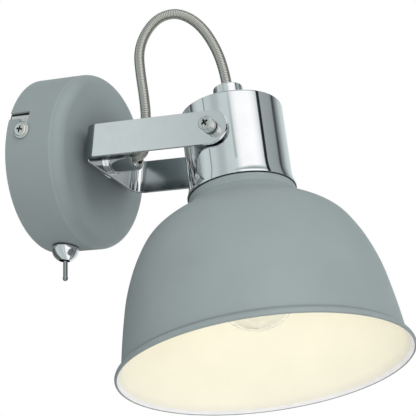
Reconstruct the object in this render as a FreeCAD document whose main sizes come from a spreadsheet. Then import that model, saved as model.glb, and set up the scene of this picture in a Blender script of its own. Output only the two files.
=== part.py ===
"""Bedside wall reading lamp: wall canopy with toggle switch, swivelling U yoke, tilting spot head.

Frame: +Z up, the wall is the plane y = 0 and the lamp stands out along -Y. The origin is the
centre of the canopy's back rim, on the swivel axis. Millimetres. Head pieces are drawn upright
about the head's own axis, with the tilt pivot at their origin, and are then tilted into place.
"""
import FreeCAD, Part
import math
import os
import re
import Sketcher

Vector = FreeCAD.Vector

doc = FreeCAD.newDocument("wall_reading_lamp")
dims = doc.addObject("Spreadsheet::Sheet", "dims")

DRIVING_DIMENSIONS = {
    # canopy: the round cover on the wall
    "canopy_radius": 47.3, "canopy_depth": 32.9, "canopy_wall": 1.2, "canopy_round": 6.4,
    "notch_low": 9.9, "notch_high": 14.0, "notch_depth": 12.0, "slot_width": 5.0,
    # side screws that hold the canopy, one each side, turned half a turn from one another
    "side_screw_depth": 9.4, "side_screw_height": 2.6, "side_flange_radius": 4.5,
    # wall bracket inside the canopy
    "bracket_half": 44.0, "bracket_height": 25.0, "bracket_wall": 1.5, "tab_depth": 15.0,
    "wall_hole_spacing": 60.0, "wall_slot_width": 4.5, "wall_slot_length": 10.0,
    "cable_hole_radius": 8.0,
    # terminal block on the bracket's upper ear
    "ear_top": 34.0, "ear_half": 17.0, "block_half": 15.0, "block_low": 16.0,
    "block_height": 15.0, "block_depth": 12.0, "pole_pitch": 9.0,
    # toggle switch under the canopy
    "switch_depth": 13.5, "toggle_pivot": 48.5, "ball_radius": 6.8, "bush_radius": 3.0,
    "bush_bore": 1.95, "lever_radius": 1.25, "lever_length": 17.2, "lever_rest": 10.0,
    "switch_long": 13.0, "switch_wide": 8.0, "switch_tall": 12.0, "bush_top": 39.5,
    "bush_end": 50.0,
    # swivel stud through the canopy's front
    "stud_radius": 5.0, "stud_bore": 3.5, "stud_inner": 23.5, "stud_outer": 49.0,
    "running_gap": 0.06, "face_gap": 0.1, "spacer_radius": 9.5,
    "flange_radius": 8.1, "flange_thick": 2.0, "sleeve_radius": 6.8, "sleeve_end": 53.2,
    # yoke: a U of flat strip
    "strip_width": 18.2, "strip_thick": 1.8, "yoke_half": 30.0, "yoke_front": 37.6,
    "bend_radius": 7.4, "pivot_reach": 111.5,
    # flexible conduit from the sleeve to the head
    "conduit_radius": 2.8, "conduit_bore": 1.9, "conduit_root": 44.0, "cable_radius": 1.4,
    "rib_depth": 0.3,
    # head cup and what holds it
    "head_tilt": 12.0, "cup_radius": 26.8, "cup_lip_radius": 28.4, "cup_wall": 1.2,
    "cup_top": 19.9, "cup_foot": 27.4, "cup_flare": 9.0, "gland_radius": 7.9, "gland_top": 34.2,
    "gland_seat": 27.0, "pivot_head_radius": 3.8, "pivot_head_tall": 4.9,
    "pivot_shank": 2.0, "washer_radius": 3.9, "washer_thick": 1.5, "nut_seat": 22.1,
    # lampholder and bulb, distances down the head's axis from the pivot
    "holder_radius": 13.9, "holder_top": 8.0, "holder_mouth": 47.0, "collar_radius": 17.0,
    "thread_radius": 7.05, "bulb_tip": 101.0, "globe_radius": 22.5, "bulb_neck": 8.6,
    "glass_wall": 0.8, "cap_radius": 6.95,
    # shade
    "shade_radius": 75.0, "shade_foot": 121.0, "shade_wall": 1.0, "neck_radius": 27.8,
    "shade_hole": 14.1, "lip_root_radius": 71.2, "lip_root": 116.0, "lip_inside_radius": 72.3,
    "lip_inside": 119.8,
}
for row, (alias, size) in enumerate(DRIVING_DIMENSIONS.items(), start=1):
    dims.set("A%d" % row, alias.replace("_", " "))
    dims.set("B%d" % row, str(size))
    dims.setAlias("B%d" % row, alias)
doc.recompute()


# ---------------------------------------------------------------- helpers

def cell(alias):
    """One driving dimension as a plain number."""
    return float(dims.getContents(dims.getCellFromAlias(alias)))


def bound(expression):
    """The expression with each of the sheet's aliases written as dims.alias."""
    return re.sub(r"[a-z_]+", lambda word: "dims." + word.group(0)
                  if word.group(0) in DRIVING_DIMENSIONS else word.group(0), str(expression))


def number(expression):
    """What an expression in the sheet's aliases comes to."""
    result = dims.evalExpression(re.sub(r"dims\.", "", bound(expression)))
    return float(getattr(result, "Value", result))


def bind(thing, **sizes):
    """Binds properties to expressions in the sheet's aliases."""
    for name, expression in sizes.items():
        thing.setExpression(name, bound(expression))
    return thing


def place(thing, x=0, y=0, z=0, axis="Z"):
    """Puts a primitive at a place given by expressions, with its own Z along the named axis."""
    turns = {"Z": ((0, 0, 1), 0), "-Z": ((1, 0, 0), 180), "X": ((0, 1, 0), 90), "-X": ((0, 1, 0), -90),
             "Y": ((1, 0, 0), -90), "-Y": ((1, 0, 0), 90)}
    about, angle = turns[axis]
    thing.Placement = FreeCAD.Placement(Vector(0, 0, 0), FreeCAD.Rotation(Vector(*about), angle))
    for name, expression in (("x", x), ("y", y), ("z", z)):
        thing.setExpression("Placement.Base." + name, bound(expression))
    return thing


def cylinder(name, radius, length, axis="Z", **at):
    """A cylinder that starts at the given place and runs along the named axis."""
    shape = bind(doc.addObject("Part::Cylinder", name), Radius=radius, Height=length)
    return place(shape, axis=axis, **at)


def cone(name, radius_1, radius_2, length, axis="Z", **at):
    """A cone from radius_1 at the given place to radius_2 along the named axis."""
    shape = bind(doc.addObject("Part::Cone", name), Radius1=radius_1, Radius2=radius_2, Height=length)
    return place(shape, axis=axis, **at)


def box(name, size, low):
    """A box with its size and its lowest corner given by expressions."""
    shape = bind(doc.addObject("Part::Box", name), Length=size[0], Width=size[1], Height=size[2])
    return place(shape, x=low[0], y=low[1], z=low[2])


def hexagon(name, flats, length, axis="Z", **at):
    """A hexagonal prism with its width across flats."""
    shape = bind(doc.addObject("Part::Prism", name), Circumradius="(%s) / sqrt(3)" % flats, Height=length)
    shape.Polygon = 6
    return place(shape, axis=axis, **at)


def fuse(name, *pieces):
    """Joins pieces into one shape."""
    whole = doc.addObject("Part::MultiFuse", name)
    whole.Shapes = list(pieces)
    return whole


def cut(name, base, *tools):
    """Takes the tools out of the base."""
    result = doc.addObject("Part::Cut", name)
    result.Base = base
    result.Tool = tools[0] if len(tools) == 1 else fuse(name + "_tools", *tools)
    return result


def group(name, *pieces):
    """Several like solids that share one node."""
    whole = doc.addObject("Part::Compound", name)
    whole.Links = list(pieces)
    return whole


def copy_turned(name, source, axis, angle):
    """A second copy of a piece, turned about an axis through the origin."""
    twin = doc.addObject("Part::Compound", name)
    twin.Links = [source]
    twin.Placement = FreeCAD.Placement(Vector(0, 0, 0), FreeCAD.Rotation(Vector(*axis), angle))
    return twin


def mirrored(name, source):
    """A second copy of a piece, mirrored in the plane x = 0."""
    twin = doc.addObject("Part::Mirroring", name)
    twin.Source = source
    twin.Normal = Vector(1, 0, 0)
    return twin


def both_sides(name, source):
    """A piece and its mirror image in the plane x = 0, as one node."""
    return group(name, source, mirrored(name + "_far", source))


def sketch_in(body, name, plane):
    """An empty sketch on one of the body's own origin planes."""
    sketch = body.newObject("Sketcher::SketchObject", name)
    for feature in body.Origin.OriginFeatures:
        if feature.Role == plane:
            sketch.AttachmentSupport = [(feature, "")]
    sketch.MapMode = "FlatFace"
    return sketch


def draw_outline(sketch, outline):
    """Draws a closed outline of points (u, v), and of arcs (u, v, radius, turn) that end there.

    turn is 1 for an arc that bends to the left on its way to the point, and -1 to the right.
    Each point is tied to its expressions, so the outline follows the sheet.
    """
    points = [Vector(number(p[0]), number(p[1]), 0) for p in outline]
    count = len(outline)
    for i in range(count):
        start, end, item = points[i - 1], points[i], outline[i]
        if len(item) == 2:
            sketch.addGeometry(Part.LineSegment(start, end), False)
            continue
        radius, turn = number(item[2]), item[3]
        chord = end - start
        half = chord.Length / 2
        left = Vector(-chord.y, chord.x, 0).normalize()
        rise = radius - math.sqrt(max(radius * radius - half * half, 0))
        middle = (start + end) * 0.5 - left * rise * turn
        sketch.addGeometry(Part.Arc(start, middle, end), False)
    for i in range(count):
        following = (i + 1) % count
        is_arc = len(outline[i]) == 4
        last_point = 2 if not is_arc or outline[i][3] > 0 else 1
        next_arc = len(outline[following]) == 4
        first_point = 1 if not next_arc or outline[following][3] > 0 else 2
        sketch.addConstraint(Sketcher.Constraint("Coincident", i, last_point, following, first_point))
        for axis, expression, value in (("X", outline[i][0], points[i].x), ("Y", outline[i][1], points[i].y)):
            if abs(value) < 1e-9:
                line = -2 if axis == "X" else -1
                sketch.addConstraint(Sketcher.Constraint("PointOnObject", i, last_point, line))
                continue
            index = sketch.addConstraint(Sketcher.Constraint("Distance" + axis, -1, 1, i, last_point, value))
            sketch.setExpression("Constraints[%d]" % index, bound(expression))
        if is_arc:
            index = sketch.addConstraint(Sketcher.Constraint("Radius", i, number(outline[i][2])))
            sketch.setExpression("Constraints[%d]" % index, bound(outline[i][2]))


def turned(name, outline, plane="XZ_Plane"):
    """A turned body: an outline of (radius, height) revolved about the plane's upright axis."""
    body = doc.addObject("PartDesign::Body", name)
    sketch = sketch_in(body, name + "_outline", plane)
    draw_outline(sketch, outline)
    turn = body.newObject("PartDesign::Revolution", name + "_turn")
    turn.Profile = sketch
    turn.ReferenceAxis = (sketch, ["V_Axis"])
    turn.Angle = 360
    sketch.Visibility = False
    return body


def padded(name, outline, thickness, plane="XZ_Plane"):
    """A body of an outline padded to both sides of its plane."""
    body = doc.addObject("PartDesign::Body", name)
    sketch = sketch_in(body, name + "_outline", plane)
    draw_outline(sketch, outline)
    pad = body.newObject("PartDesign::Pad", name + "_pad")
    pad.Profile = sketch
    pad.SideType = "Symmetric"
    bind(pad, Length=thickness)
    return body


def ring_outline(inner, outer, low, high):
    """The outline of a plain ring."""
    return [(inner, low), (outer, low), (outer, high), (inner, high)]


def cross_recess(name, span, width, depth, axis, **at):
    """The cross slot of a screw head: two bars that sink along the named axis."""
    bars = []
    for turn, (long, wide) in enumerate(((span, width), (width, span))):
        bar = bind(doc.addObject("Part::Box", "%s_bar_%d" % (name, turn)), Length=long, Width=wide, Height=depth)
        centre = {"X": ("x", "y", "z"), "Y": ("y", "x", "z"), "Z": ("z", "x", "y")}[axis[-1]]
        low = {centre[0]: at.get(centre[0], 0)}
        if axis[-1] == "X":
            low["y"] = "%s - (%s) / 2" % (at.get("y", 0), wide)
            low["z"] = ("%s + (%s) / 2" if axis == "X" else "%s - (%s) / 2") % (at.get("z", 0), long)
        elif axis[-1] == "Y":
            low["x"] = "%s - (%s) / 2" % (at.get("x", 0), long)
            low["z"] = ("%s - (%s) / 2" if axis == "-Y" else "%s + (%s) / 2") % (at.get("z", 0), wide)
        bars.append(place(bar, axis=axis, **low))
    return fuse(name, *bars)


nodes = []


def node(label, piece):
    """Names a finished piece as a sub-part of the lamp."""
    piece.Label = label
    nodes.append(piece)
    return piece


def head_node(label, piece):
    """Names a piece of the head and tilts it into place about the pivot."""
    tilt = FreeCAD.Rotation(Vector(1, 0, 0), -cell("head_tilt"))
    piece.Placement = FreeCAD.Placement(Vector(0, -cell("pivot_reach"), 0), tilt)
    return node(label, piece)


# ---------------------------------------------------------------- canopy and wall bracket

def make_canopy():
    """The round cover: a drawn cup with an L notch at each side, a stud hole and a switch hole."""
    outer_flat = "canopy_radius - canopy_round"
    inner_round = "canopy_round - canopy_wall"
    shell = turned("canopy_shell", [
        ("canopy_radius - canopy_wall", 0), ("canopy_radius", 0),
        ("canopy_radius", "canopy_round - canopy_depth"),
        (outer_flat, "-canopy_depth", "canopy_round", -1),
        ("stud_radius + running_gap", "-canopy_depth"),
        ("stud_radius + running_gap", "canopy_wall - canopy_depth"),
        (outer_flat, "canopy_wall - canopy_depth"),
        ("canopy_radius - canopy_wall", "canopy_round - canopy_depth", inner_round, 1),
    ], plane="XY_Plane")
    reach = 12
    notch = fuse(
        "canopy_notch",
        box("notch_entry", (reach, "notch_depth", "notch_high - notch_low"),
            ("-canopy_radius - 4", "-notch_depth", "notch_low")),
        box("notch_drop", (reach, "slot_width", "notch_high - side_screw_height"),
            ("-canopy_radius - 4", "-notch_depth", "side_screw_height")),
        cylinder("notch_end", "slot_width / 2", reach, axis="X", x="-canopy_radius - 4",
                 y="slot_width / 2 - notch_depth", z="side_screw_height"))
    switch_hole = cylinder("switch_hole", "bush_radius + 0.1", 8, axis="-Z", x=0, y="-switch_depth",
                           z="4 - canopy_radius")
    for tool in (notch, copy_turned("far_notch", notch, (0, 1, 0), 180), switch_hole):
        shell = cut("canopy_less_" + tool.Name, shell, tool)
    node("canopy", shell)


def make_side_screws():
    """Flanged cross-head screws that hold the canopy to the bracket's tabs."""
    seat = "-canopy_radius - 0.05"
    screw = fuse(
        "side_screw",
        cylinder("side_shank", 2, "canopy_radius - 40.5", axis="-X", x=-40.5, y="-side_screw_depth",
                 z="side_screw_height"),
        cylinder("side_flange", "side_flange_radius", 0.8, axis="-X", x=seat, y="-side_screw_depth",
                 z="side_screw_height"),
        cylinder("side_head", 3.7, 1.2, axis="-X", x=seat + " - 0.8", y="-side_screw_depth",
                 z="side_screw_height"),
        cone("side_crown", 3.7, 2.7, 0.8, axis="-X", x=seat + " - 2", y="-side_screw_depth",
             z="side_screw_height"))
    recess = cross_recess("side_recess", 4.4, 1.1, 1.9, "X", x="-canopy_radius - 2.86",
                          y="-side_screw_depth", z="side_screw_height")
    near = cut("side_screw_near", screw, recess)
    node("canopy_side_screws", group("side_screws", near, copy_turned("side_screw_far", near, (0, 1, 0), 180)))


def make_wall_bracket():
    """The plate on the wall, with two tabs for the side screws and an ear for the terminals."""
    half_height = "bracket_height / 2"
    plate = box("bracket_plate", ("2 * bracket_half", "bracket_wall", "bracket_height"),
                ("-bracket_half", "-bracket_wall", "-bracket_height / 2"))
    tabs = [box("bracket_tab_%d" % side, ("bracket_wall", "tab_depth", "bracket_height"),
                ("%d * (bracket_half - bracket_wall / 2) - bracket_wall / 2" % side, "-tab_depth",
                 "-bracket_height / 2")) for side in (-1, 1)]
    ear = box("bracket_ear", ("2 * ear_half", "bracket_wall", "ear_top - %s" % half_height),
              ("-ear_half", "-bracket_wall", half_height))
    holes = [cylinder("cable_hole", "cable_hole_radius", 4, axis="Y", x=0, y=-3, z=0)]
    for side in (-1, 1):
        tag = "a" if side < 0 else "b"
        middle = "%d * wall_hole_spacing / 2" % side
        run = "(wall_slot_length - wall_slot_width) / 2"
        holes.append(box("wall_slot_" + tag, ("2 * %s" % run, 4, "wall_slot_width"),
                         ("%s - %s" % (middle, run), -3, "-wall_slot_width / 2")))
        for end in (-1, 1):
            holes.append(cylinder("wall_slot_%s_end_%d" % (tag, end), "wall_slot_width / 2", 4, axis="Y",
                                  x="%s + %d * %s" % (middle, end, run), y=-3, z=0))
        holes.append(cylinder("tab_thread_" + tag, 2.03, 8, axis="X", x="%d * bracket_half - 4" % side,
                              y="-side_screw_depth", z="%d * side_screw_height" % -side))
    holes.append(cylinder("earth_thread", 1.75, 4, axis="Y", x=15, y=-3, z=-8))
    holes.append(cylinder("block_thread", 1.2, 4, axis="Y", x=4.5, y=-3, z="block_low + block_height / 2"))
    node("wall_bracket", cut("bracket_cut", fuse("bracket_metal", plate, *tabs, ear), *holes))


def make_terminal_block():
    """Three-pole screw connector on the ear, with brass barrels, clamp screws and a fixing screw."""
    centre = "block_low + block_height / 2"
    face = "-bracket_wall - block_depth"
    axis_depth = "-bracket_wall - block_depth / 2"
    block = box("block_case", ("2 * block_half", "block_depth", "block_height"),
                ("-block_half", face, "block_low"))
    case_holes = [cylinder("block_fixing_hole", 1.3, 16, axis="Y", x=4.5, y=face + " - 1", z=centre)]
    barrels, screws = [], []
    for pole in range(3):
        x = "(%d) * pole_pitch" % (pole - 1)
        case_holes.append(cylinder("pole_bore_%d" % pole, 2.4, 17, x=x, y=axis_depth, z="block_low - 1"))
        wire_way = cylinder("wire_way_%d" % pole, 1.5, 17, x=x, y=axis_depth, z="block_low - 1")
        clamp_holes = []
        for end in (-1, 1):
            spot = "%s + %d * 4" % (centre, end)
            name = "%d_%s" % (pole, "low" if end < 0 else "high")
            hole = cylinder("clamp_hole_" + name, 1.2, "block_depth / 2", axis="-Y", x=x, y=axis_depth, z=spot)
            clamp_holes.append(hole)
            screws.append(cut("clamp_screw_cut_" + name,
                              cylinder("clamp_shank_" + name, 1.15, 4.2, axis="-Y", x=x,
                                       y=axis_depth + " - 1.6", z=spot),
                              box("clamp_slot_" + name, (2.6, 0.8, 0.5),
                                  (x + " - 1.3", axis_depth + " - 6", spot + " - 0.25"))))
        case_holes.extend(clamp_holes)
        barrels.append(cut("pole_barrel_cut_%d" % pole,
                           cylinder("pole_barrel_%d" % pole, 2.35, 13, x=x, y=axis_depth, z="block_low + 1"),
                           wire_way, *[copy_turned("clamp_way_%d_%d" % (pole, k), hole, (0, 0, 1), 0)
                                       for k, hole in enumerate(clamp_holes)]))
    node("terminal_block", cut("block_cut", block, *case_holes))
    node("terminal_barrels", group("pole_barrels", *barrels))
    node("terminal_clamp_screws", group("clamp_screws", *screws))
    fixing = fuse("block_screw_solid",
                  cylinder("block_screw_shank", 1.2, "block_depth + bracket_wall", axis="-Y", x=4.5, y=0, z=centre),
                  cylinder("block_screw_head", 2.2, 1.2, axis="-Y", x=4.5, y=face, z=centre))
    node("terminal_block_screw", fixing)


def make_earth_screw():
    """The earth screw with its cup washer, on the bracket."""
    washer = cut("earth_washer_cut",
                 cylinder("earth_washer_disc", 4, 0.8, axis="-Y", x=15, y="-bracket_wall", z=-8),
                 cylinder("earth_washer_hole", 1.8, 2, axis="-Y", x=15, y="-bracket_wall + 0.5", z=-8))
    node("earth_washer", washer)
    screw = fuse("earth_screw_solid",
                 cylinder("earth_shank", 1.75, "bracket_wall + 0.8", axis="-Y", x=15, y=0, z=-8),
                 cylinder("earth_head", 3.4, 2.2, axis="-Y", x=15, y="-bracket_wall - 0.8", z=-8))
    node("earth_screw", cut("earth_screw_cut", screw,
                            cross_recess("earth_recess", 3.6, 0.9, 1.2, "Y", x=15,
                                         y="-bracket_wall - 3.05", z=-8)))


# ---------------------------------------------------------------- toggle switch

def make_switch():
    """Miniature toggle switch: body, lugs, threaded bush, inner nut, ball nut and lever."""
    body = box("switch_case", ("switch_long", "switch_wide", "switch_tall"),
               ("-switch_long / 2", "-switch_depth - switch_wide / 2", "-bush_top"))
    node("switch_body", body)
    lugs = [box("switch_lug_%d" % k, (2, 0.8, 5),
                ("%d - 1" % (k * 5), "-switch_depth - 0.4", "switch_tall - bush_top")) for k in (-1, 0, 1)]
    node("switch_lugs", group("switch_lug_set", *lugs))
    node("switch_bush", cut("bush_cut",
                            cylinder("bush_stem", "bush_radius", "bush_end - bush_top", axis="-Z", x=0,
                                     y="-switch_depth", z="-bush_top"),
                            cylinder("bush_hole", "bush_bore", "bush_end - bush_top", axis="-Z", x=0,
                                     y="-switch_depth", z="-bush_top - 4")))
    inner_nut_top = 43.56
    node("switch_inner_nut", cut("inner_nut_cut",
                                 hexagon("inner_nut_hex", 8, 2.3, axis="-Z", x=0, y="-switch_depth",
                                         z=-inner_nut_top),
                                 cylinder("inner_nut_hole", "bush_radius", 6, axis="-Z", x=0,
                                          y="-switch_depth", z=-inner_nut_top + 2)))
    crown = "sqrt(ball_radius ^ 2 - bush_radius ^ 2)"
    shoulder = "sqrt(ball_radius ^ 2 - (toggle_pivot - canopy_radius) ^ 2)"
    ball = turned("ball_nut_turned", [
        ("bush_radius", "-canopy_radius"), (shoulder, "-canopy_radius"),
        ("bush_radius", "-toggle_pivot - " + crown, "ball_radius", -1),
    ])
    place(ball, y="-switch_depth")
    node("switch_ball_nut", ball)


def make_lever():
    """The chrome lever: a pivot ball with a cross pin, a thin tail and a stem with a rounded tip."""
    tip_radius = "lever_radius + 0.2"
    lever = fuse(
        "lever_solid",
        place(bind(doc.addObject("Part::Sphere", "lever_ball"), Radius="bush_bore - 0.45")),
        cylinder("lever_pin", 0.6, "2 * bush_bore - 0.3", axis="Y", x=0, y="0.15 - bush_bore", z=0),
        cylinder("lever_tail", 0.8, 3.6, x=0, y=0, z=0),
        cylinder("lever_stem", "lever_radius", "lever_length - 2.6", axis="-Z", x=0, y=0, z=0),
        cone("lever_swell", "lever_radius", tip_radius, 1.2, axis="-Z", x=0, y=0, z="2.6 - lever_length"),
        place(bind(doc.addObject("Part::Sphere", "lever_tip"), Radius=tip_radius),
              z="lever_radius + 0.2 - lever_length"))
    lean = FreeCAD.Rotation(Vector(0, 1, 0), -cell("lever_rest"))
    lever.Placement = FreeCAD.Placement(Vector(0, -cell("switch_depth"), -cell("toggle_pivot")), lean)
    node("toggle_lever", lever)


# ---------------------------------------------------------------- swivel and yoke

def make_swivel():
    """The hollow stud with its nut, wave washer, stop washer, spacer and flanged sleeve."""
    node("swivel_stud", turned("stud_turned", [
        (2, "-stud_inner"), ("stud_radius", "-stud_inner"), ("stud_radius", "-stud_outer"),
        ("stud_bore", "-stud_outer"), ("stud_bore", "-conduit_root"), (2, "-conduit_root"),
    ], plane="XY_Plane"))
    inside = "canopy_wall - canopy_depth + face_gap"
    stop = fuse("stop_metal",
                cylinder("stop_disc", 8.4, 1, axis="Y", x=0, y=inside, z=0),
                box("stop_tongue", (4, 1, 13), (-2, inside, -13)))
    node("swivel_stop_washer", cut("stop_cut", stop,
                                   cylinder("stop_hole", "stud_radius", 4, axis="Y", x=0, y=inside + " - 1", z=0)))
    node("swivel_stop_pin", cylinder("stop_pin", 1.5, 4, axis="Y", x=0, y="canopy_wall - canopy_depth", z=11))
    node("swivel_wave_washer", cut("wave_cut",
                                   cylinder("wave_disc", 8.6, 0.9, axis="Y", x=0, y=inside + " + 1", z=0),
                                   cylinder("wave_hole", "stud_radius + 0.1", 4, axis="Y", x=0, y=inside, z=0)))
    node("swivel_lock_nut", cut("lock_nut_cut",
                                hexagon("lock_nut_hex", 14, 4, axis="Y", x=0, y=inside + " + 1.9", z=0),
                                cylinder("lock_nut_hole", "stud_radius", 8, axis="Y", x=0, y=inside, z=0)))
    back = "-yoke_front + strip_thick"
    node("swivel_spacer", cut("spacer_cut",
                              cylinder("spacer_disc", "spacer_radius", "yoke_front - strip_thick - canopy_depth"
                                       " - face_gap", axis="Y", x=0, y=back, z=0),
                              cylinder("spacer_hole", "stud_radius + 0.1", 6, axis="Y", x=0, y=back + " - 1", z=0)))
    mouth = "sleeve_radius - 1.1"
    node("swivel_sleeve_nut", turned("sleeve_turned", [
        ("stud_radius", "-yoke_front"), ("flange_radius", "-yoke_front"),
        ("flange_radius", "-yoke_front - flange_thick"),
        ("sleeve_radius", "-yoke_front - flange_thick"),
        ("sleeve_radius", "0.4 - sleeve_end"), ("sleeve_radius - 0.4", "-sleeve_end", 0.4, -1),
        (mouth, "-sleeve_end"), (mouth, "-stud_outer"), ("stud_radius", "-stud_outer"),
    ], plane="XY_Plane"))


def make_yoke():
    """The U of flat strip: rounded bends, full-round arm ends, pivot holes and a stud hole."""
    inner_bend = "bend_radius - strip_thick"
    inner_half = "yoke_half - strip_thick"
    back = "strip_thick - yoke_front"
    tip = "-pivot_reach - strip_width / 2"
    strip = padded("yoke_strip", [
        ("-yoke_half", tip), ("-yoke_half", back + " - bend_radius"),
        ("bend_radius - yoke_half", back, "bend_radius", -1),
        ("yoke_half - bend_radius", back),
        ("yoke_half", back + " - bend_radius", "bend_radius", -1),
        ("yoke_half", tip), (inner_half, tip), (inner_half, back + " - bend_radius"),
        ("yoke_half - bend_radius", "-yoke_front", inner_bend, 1),
        ("bend_radius - yoke_half", "-yoke_front"),
        ("strip_thick - yoke_half", back + " - bend_radius", inner_bend, 1),
        ("strip_thick - yoke_half", tip),
    ], "strip_width", plane="XY_Plane")
    corners = cut("arm_corners",
                  box("arm_end_block", ("2 * yoke_half + 4", "strip_width / 2 + 2", "strip_width + 4"),
                      ("-yoke_half - 2", tip + " - 2", "-strip_width / 2 - 2")),
                  cylinder("arm_end_round", "strip_width / 2", "2 * yoke_half + 8", axis="X",
                           x="-yoke_half - 4", y="-pivot_reach", z=0))
    pivot_hole = cylinder("pivot_hole", "pivot_shank + running_gap", "2 * yoke_half + 8", axis="X",
                          x="-yoke_half - 4", y="-pivot_reach", z=0)
    stud_hole = cylinder("stud_hole", "stud_radius + 0.05", 6, axis="-Y", x=0, y="3 - yoke_front", z=0)
    node("yoke_bracket", cut("yoke_cut", strip, corners, pivot_hole, stud_hole))


# ---------------------------------------------------------------- flexible conduit

# the conduit's route from the sleeve to the head's gland, before its last two points
CONDUIT_POINTS = [
    (0, -44, 0), (0, -53, 0), (-5, -60, 1), (-10, -62.5, 8), (-12.5, -63.5, 18), (-12.5, -61, 30),
    (-11.5, -57, 44), (-9.5, -53.6, 57), (-8.2, -55.5, 68), (-6.7, -61.5, 77), (-4.8, -70, 80),
    (-3.2, -78, 77.7), (-2.2, -85.5, 72), (-1.5, -92, 64), (-0.7, -98.5, 52.5),
]
LAST_RUN = 11.5
ARC_SHARE = 0.45
RIB_COUNT = 180
RIB_SHARE = 0.55


def on_head_axis(distance):
    """The point on the head's tilted axis that far above the pivot."""
    tilt = math.radians(cell("head_tilt"))
    return Vector(0, distance * math.sin(tilt) - cell("pivot_reach"), distance * math.cos(tilt))


def conduit_path():
    """The route as straight runs joined by tangent arcs, and the arcs' radii."""
    seat = cell("gland_seat")
    points = [Vector(*p) for p in CONDUIT_POINTS] + [on_head_axis(seat + LAST_RUN), on_head_axis(seat)]
    edges, radii = [], []
    start = points[0]
    for before, corner, after in zip(points, points[1:], points[2:]):
        back, ahead = before - corner, after - corner
        reach = ARC_SHARE * min(back.Length, ahead.Length)
        back.normalize()
        ahead.normalize()
        half_turn = (math.pi - back.getAngle(ahead)) / 2
        radius = reach / math.tan(half_turn)
        radii.append(radius)
        into, out = corner + back * reach, corner + ahead * reach
        bisector = (back + ahead).normalize()
        middle = corner + bisector * (radius / math.cos(half_turn) - radius)
        edges.append(Part.LineSegment(start, into).toShape())
        edges.append(Part.Arc(into, middle, out).toShape())
        start = out
    edges.append(Part.LineSegment(start, points[-1]).toShape())
    return Part.Wire(edges), radii


def stations(path, distances):
    """Points, directions and a steady sideways axis at distances along the path."""
    ends, total = [], 0.0
    for edge in path.Edges:
        total += edge.Length
        ends.append(total)
    side = Vector(1, 0, 0)
    found = []
    for distance in distances:
        index = next((i for i, end in enumerate(ends) if distance <= end + 1e-9), len(ends) - 1)
        edge = path.Edges[index]
        along = min(max(distance - (ends[index] - edge.Length), 0), edge.Length)
        parameter = edge.getParameterByLength(along)
        direction = edge.tangentAt(parameter).normalize()
        side = (side - direction * side.dot(direction)).normalize()
        found.append((edge.valueAt(parameter), direction, side))
    return found


def ring_at(centre, direction, side, radius):
    """A circle about the path, with its seam on the steady sideways axis."""
    up = direction.cross(side)
    turned_axes = FreeCAD.Rotation(side, up, direction, "ZXY")
    circle = Part.Circle()
    circle.Radius = radius
    wire = Part.Wire([circle.toShape()])
    wire.Placement = FreeCAD.Placement(centre, turned_axes)
    return wire


def make_conduit():
    """The close-wound hose, as a bored tube with a raised rib for each of its turns."""
    path, radii = conduit_path()
    length = path.Length
    outer, bore = cell("conduit_radius"), cell("conduit_bore")
    valley = outer - cell("rib_depth")
    plain = 2 * outer
    pitch = (length - 2 * plain) / RIB_COUNT
    half_rib = RIB_SHARE * pitch / 2
    slope = (1 - RIB_SHARE) * pitch / 4
    profile = [(0.0, valley)]
    for rib in range(RIB_COUNT):
        middle = plain + (rib + 0.5) * pitch
        profile.append((middle - half_rib - slope, valley))
        profile.append((middle - half_rib + slope, outer))
        profile.append((middle + half_rib - slope, outer))
        profile.append((middle + half_rib + slope, valley))
    profile.append((length, valley))
    frames = stations(path, [distance for distance, radius in profile])
    rings = [ring_at(*frame, radius) for frame, (distance, radius) in zip(frames, profile)]
    skin = Part.makeLoft(rings, True, True)
    hole = tube_along(path, bore)
    hose = skin.cut(hole)
    solid = doc.addObject("Part::Feature", "conduit_hose")
    solid.Shape = hose
    node("conduit", solid)
    cable = doc.addObject("Part::Feature", "conduit_lead")
    cable.Shape = tube_along(path, cell("cable_radius"))
    node("conduit_cable", cable)
    ideal = math.pi * cell("cable_radius") ** 2 * length
    print("conduit length %.1f, radii %s" % (length, ["%.1f" % r for r in radii]))
    print("cable volume %.1f, section times length %.1f" % (cable.Shape.Volume, ideal))
    print("conduit volume %.1f" % hose.Volume)


def tube_along(path, radius):
    """A solid round bar of the given radius along the whole path."""
    (centre, direction, side), = stations(path, [0.0])
    return path.makePipeShell([ring_at(centre, direction, side, radius)], True, False)


# ---------------------------------------------------------------- head

def make_cup():
    """The chrome cup: closed top with a gland hole, straight side, flared foot and pivot holes."""
    flare_top = "cup_flare - cup_foot"
    wall = "cup_wall"
    shell = turned("cup_shell", [
        ("stud_radius + 0.05", "cup_top - cup_wall"), ("stud_radius + 0.05", "cup_top"),
        ("cup_radius - 1.5", "cup_top"), ("cup_radius", "cup_top - 1.5", 1.5, -1),
        ("cup_radius", flare_top), ("cup_lip_radius", "0.8 - cup_foot", 21.8, 1),
        ("cup_lip_radius", "-cup_foot"), ("cup_lip_radius - cup_wall", "-cup_foot"),
        ("cup_lip_radius - cup_wall", "0.8 - cup_foot"),
        ("cup_radius - cup_wall", flare_top, 21.8, -1),
        ("cup_radius - " + wall, "cup_top - cup_wall"),
    ])
    pivots = cylinder("cup_pivot_holes", "pivot_shank + 0.05", "2 * cup_radius + 8", axis="X",
                      x="-cup_radius - 4", y=0, z=0)
    head_node("head_cup", cut("cup_cut", shell, pivots))


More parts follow.
